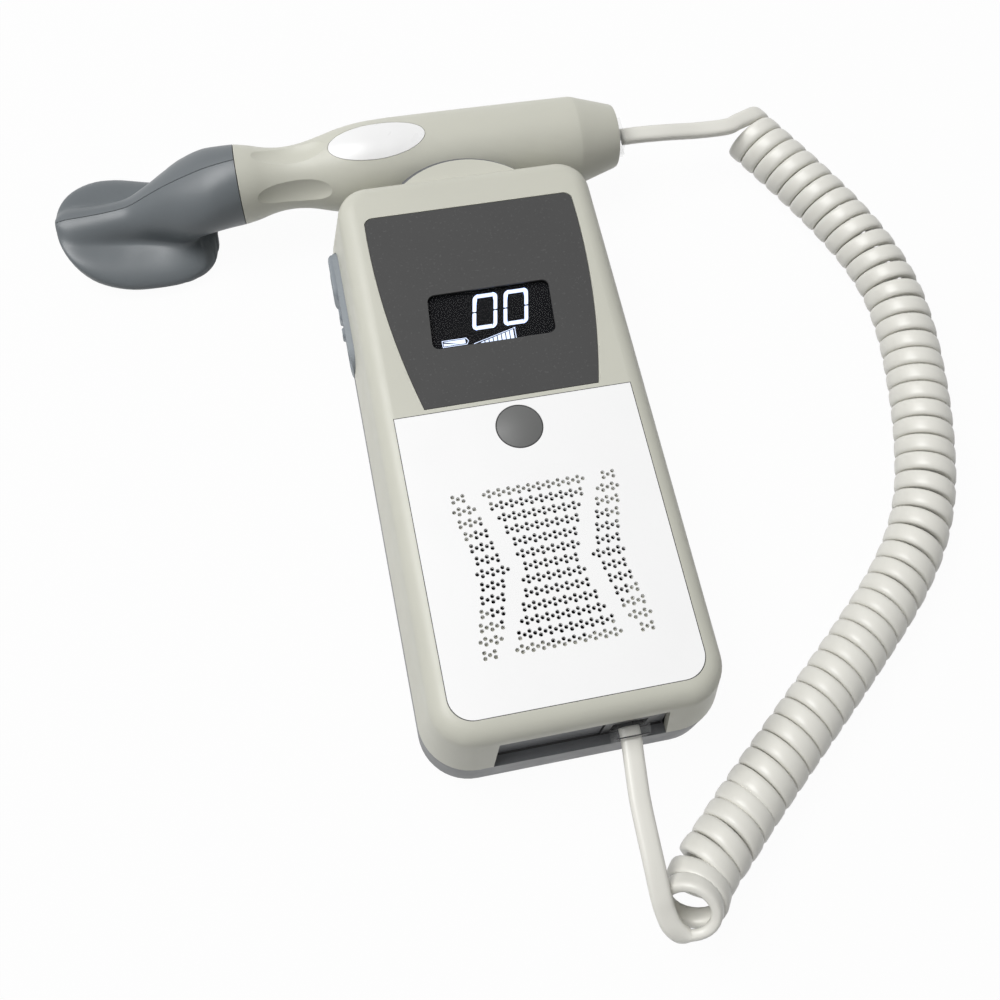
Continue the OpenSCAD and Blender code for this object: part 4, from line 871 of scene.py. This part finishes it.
def plate_outline(low, high):
    """The white plate seen from above: square at the label's end, round at the other."""
    return [(high.x, high.y), (low.x, high.y),
            *corner(low.x + PLATE_R, low.y + PLATE_R, PLATE_R, 180, 270, 12),
            *corner(high.x - PLATE_R, low.y + PLATE_R, PLATE_R, 270, 360, 12)]


def ring_strips(outline, wide):
    """Flat quads that follow an outline on its outer side."""
    n = len(outline)
    outer = []
    for i, p in enumerate(outline):
        a, b = Vector(p) - Vector(outline[i - 1]), Vector(outline[(i + 1) % n]) - Vector(p)
        side_a, side_b = Vector((a.y, -a.x)).normalized(), Vector((b.y, -b.x)).normalized()
        side = (side_a + side_b).normalized()
        outer.append(Vector(p) + side * wide / max(side.dot(side_a), 0.5))
    return [[outline[i], tuple(outer[i]), tuple(outer[(i + 1) % n]), outline[(i + 1) % n]] for i in range(n)]


def add_display_characters():
    """Lit characters on the display, just under the clear window."""
    lit = glow("display_lit", (0.66, 0.76, 1.0), 1.0)
    shapes = [part for x in (-5.4, 1.95) for part in digit_zero(x, DIGIT_Y, DIGIT_W, DIGIT_H)]
    shapes += battery_sign(-12.9, 21.3, 5.7, 1.75) + rising_bars(-5.7, 21.1, 10.0, 2.8)
    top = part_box("display_module")[1].z / MM
    joined("display_characters", prisms(shapes, top + 0.05, 0.04), lit)


def add_face_trim():
    """Round corners of the label's window, and black strips of painted shade in the gaps round the white
    plate and the button.
    """
    plate_low, plate_high = (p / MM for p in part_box("grille_plate"))
    button_low, button_high = (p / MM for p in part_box("power_button"))
    button = (button_low + button_high) / 2
    top = plate_high.z
    plate_gap_shade = ring_strips(plate_outline(plate_low, plate_high), PLATE_GAP_SHADE)
    button_gap = ring_strips(corner(button.x, button.y, BUTTON_R, 0, 360, 64)[:-1], BUTTON_GAP_SHADE)
    joined("window_corners", prisms(window_corners(), top - 0.02, 0.46), mats["label_grey"])
    # Black strips paint the shade in the gaps round the plate and down the button's hole
    joined("plate_gap_shade", prisms(plate_gap_shade, top + 0.012, 0.05), mats["part_black"])
    joined("button_gap", prisms(button_gap, top - 0.1, 0.7), mats["part_black"])


def add_jack_face():
    """Face of the jack round the clear plug, the plug's dark end edge and a black strip of painted shade in
    the gap under the notch panel.
    """
    left, right, top = JACK_X - JACK_W / 2, JACK_X + JACK_W / 2, JACK_Z + JACK_H
    hole_left, hole_right = JACK_X - HOLE_HALF, JACK_X + HOLE_HALF
    hole_low, hole_top = JACK_Z + HOLE_LOW, JACK_Z + HOLE_TOP
    face_y, plug_y = PANEL_Y - 0.4, PANEL_Y - PLUG_OUT
    joined("jack_face_and_shade", [
        block((left, face_y, JACK_Z), (hole_left, PANEL_Y, top)),
        block((hole_right, face_y, JACK_Z), (right, PANEL_Y, top)),
        block((hole_left, face_y, hole_top), (hole_right, PANEL_Y, top)),
        block((hole_left, face_y, JACK_Z), (hole_right, PANEL_Y, hole_low)),
        block((JACK_X - EDGE_HALF, plug_y - 0.25, EDGE_LOW), (JACK_X + EDGE_HALF, plug_y, EDGE_TOP)),
        # Painted shade: a black strip along the notch panel's foot
        block((-NOTCH_HALF, PANEL_Y - 0.5, SEAM_Z + 0.01), (NOTCH_HALF, PANEL_Y, SEAM_Z + 0.06)),
    ], mats["part_black"])


add_camera()
add_world()
add_lamp("key", (-0.85, 0.5, 1.72), 1.4, 36)
add_lamp("fill", (-1.3, -0.7, 1.6), 1.2, 1.2)

cord_mat = material("cord_vinyl", (0.75, 0.74, 0.685), 0.38, vary=0.02, blotch=40, grain=0.15,
                    grain_scale=900, Coat_Weight=0.15, Coat_Roughness=0.25)
make_cord(cord_mat)

mats = {
    "case_beige": material("case_beige", (0.57, 0.568, 0.495), 0.42, vary=0.015, grain=0.35),
    "case_slate": material("case_slate", (0.12, 0.125, 0.132), 0.45, vary=0.03, grain=0.35),
    "head_slate": material("head_slate", (0.115, 0.13, 0.14), 0.4, vary=0.03, grain=0.08, grain_scale=1600),
    "grille_white": material("grille_white", (0.94, 0.94, 0.94), 0.4, vary=0.006, grain=0.12,
                             grain_scale=1800),
    "label_grey": material("label_grey", (0.062, 0.062, 0.062), 0.55, vary=0.02, grain=0.3, grain_scale=4200,
                           speck=((0.1, 0.1, 0.1), 0.5), Specular_IOR_Level=0.2),
    "badge_white": material("badge_white", (0.86, 0.86, 0.86), 0.3, vary=0.01),
    "button_grey": material("button_grey", (0.125, 0.127, 0.125), 0.5, vary=0.02, grain=0.3,
                            grain_scale=2400),
    "key_rubber": material("key_rubber", (0.24, 0.265, 0.29), 0.6, vary=0.04, grain=0.4, grain_scale=2200),
    "display_black": material("display_black", (0.006, 0.006, 0.007), 0.45, vary=0.1,
                              Specular_IOR_Level=0.02),
    "board_green": material("board_green", (0.02, 0.14, 0.055), 0.35, vary=0.12, blotch=300),
    "part_black": material("part_black", (0.02, 0.02, 0.021), 0.4, vary=0.1, grain=0.2),
    "cone_black": material("cone_black", (0.03, 0.03, 0.031), 0.85, vary=0.15, blotch=500,
                           grain=0.6, grain_scale=3000),
    "magnet_steel": material("magnet_steel", (0.5, 0.5, 0.51), 0.32, vary=0.04, Metallic=1.0),
    "contact_gold": material("contact_gold", (0.83, 0.6, 0.24), 0.22, vary=0.03, Metallic=1.0),
    "battery_sleeve": material("battery_sleeve", (0.07, 0.14, 0.3), 0.3, vary=0.03, Coat_Weight=0.4),
    "screw_steel": material("screw_steel", (0.3, 0.3, 0.31), 0.38, vary=0.05, Metallic=1.0),
    "lens_dark": material("lens_dark", (0.03, 0.032, 0.035), 0.5, vary=0.05, grain=0.1),
    "crystal_tan": material("crystal_tan", (0.45, 0.4, 0.25), 0.4, vary=0.05, Metallic=0.6),
    "lens_clear": material("lens_clear", (0.03, 0.033, 0.036), 0.08, vary=0.02, rough_vary=0.02, Alpha=0.08),
    "plug_clear": material("plug_clear", (0.8, 0.82, 0.82), 0.12, vary=0.01, rough_vary=0.03,
                           Alpha=0.08, Specular_IOR_Level=0.6),
    "cord_grey": cord_mat,
}
for name, node in frame["nodes"].items():
    node.data.materials.clear()
    node.data.materials.append(mats[slots[name]])

skins = {}
for name in ("front_shell", "rear_shell", "probe_handle", "key_pad", "large_key", "middle_key", "small_key",
             "power_button", "grille_plate", "probe_badge"):
    skins[name] = smooth_copy(name, mats[slots[name]])
deepen_dimples(skins["probe_handle"])
round_rim(skins["key_pad"], 0.6)
for name in ("large_key", "middle_key", "small_key"):
    round_rim(skins[name], 0.75)
make_head(mats["head_slate"])

add_display_characters()
add_face_trim()
add_jack_face()
add_floor()

scene.view_settings.view_transform = "Standard"
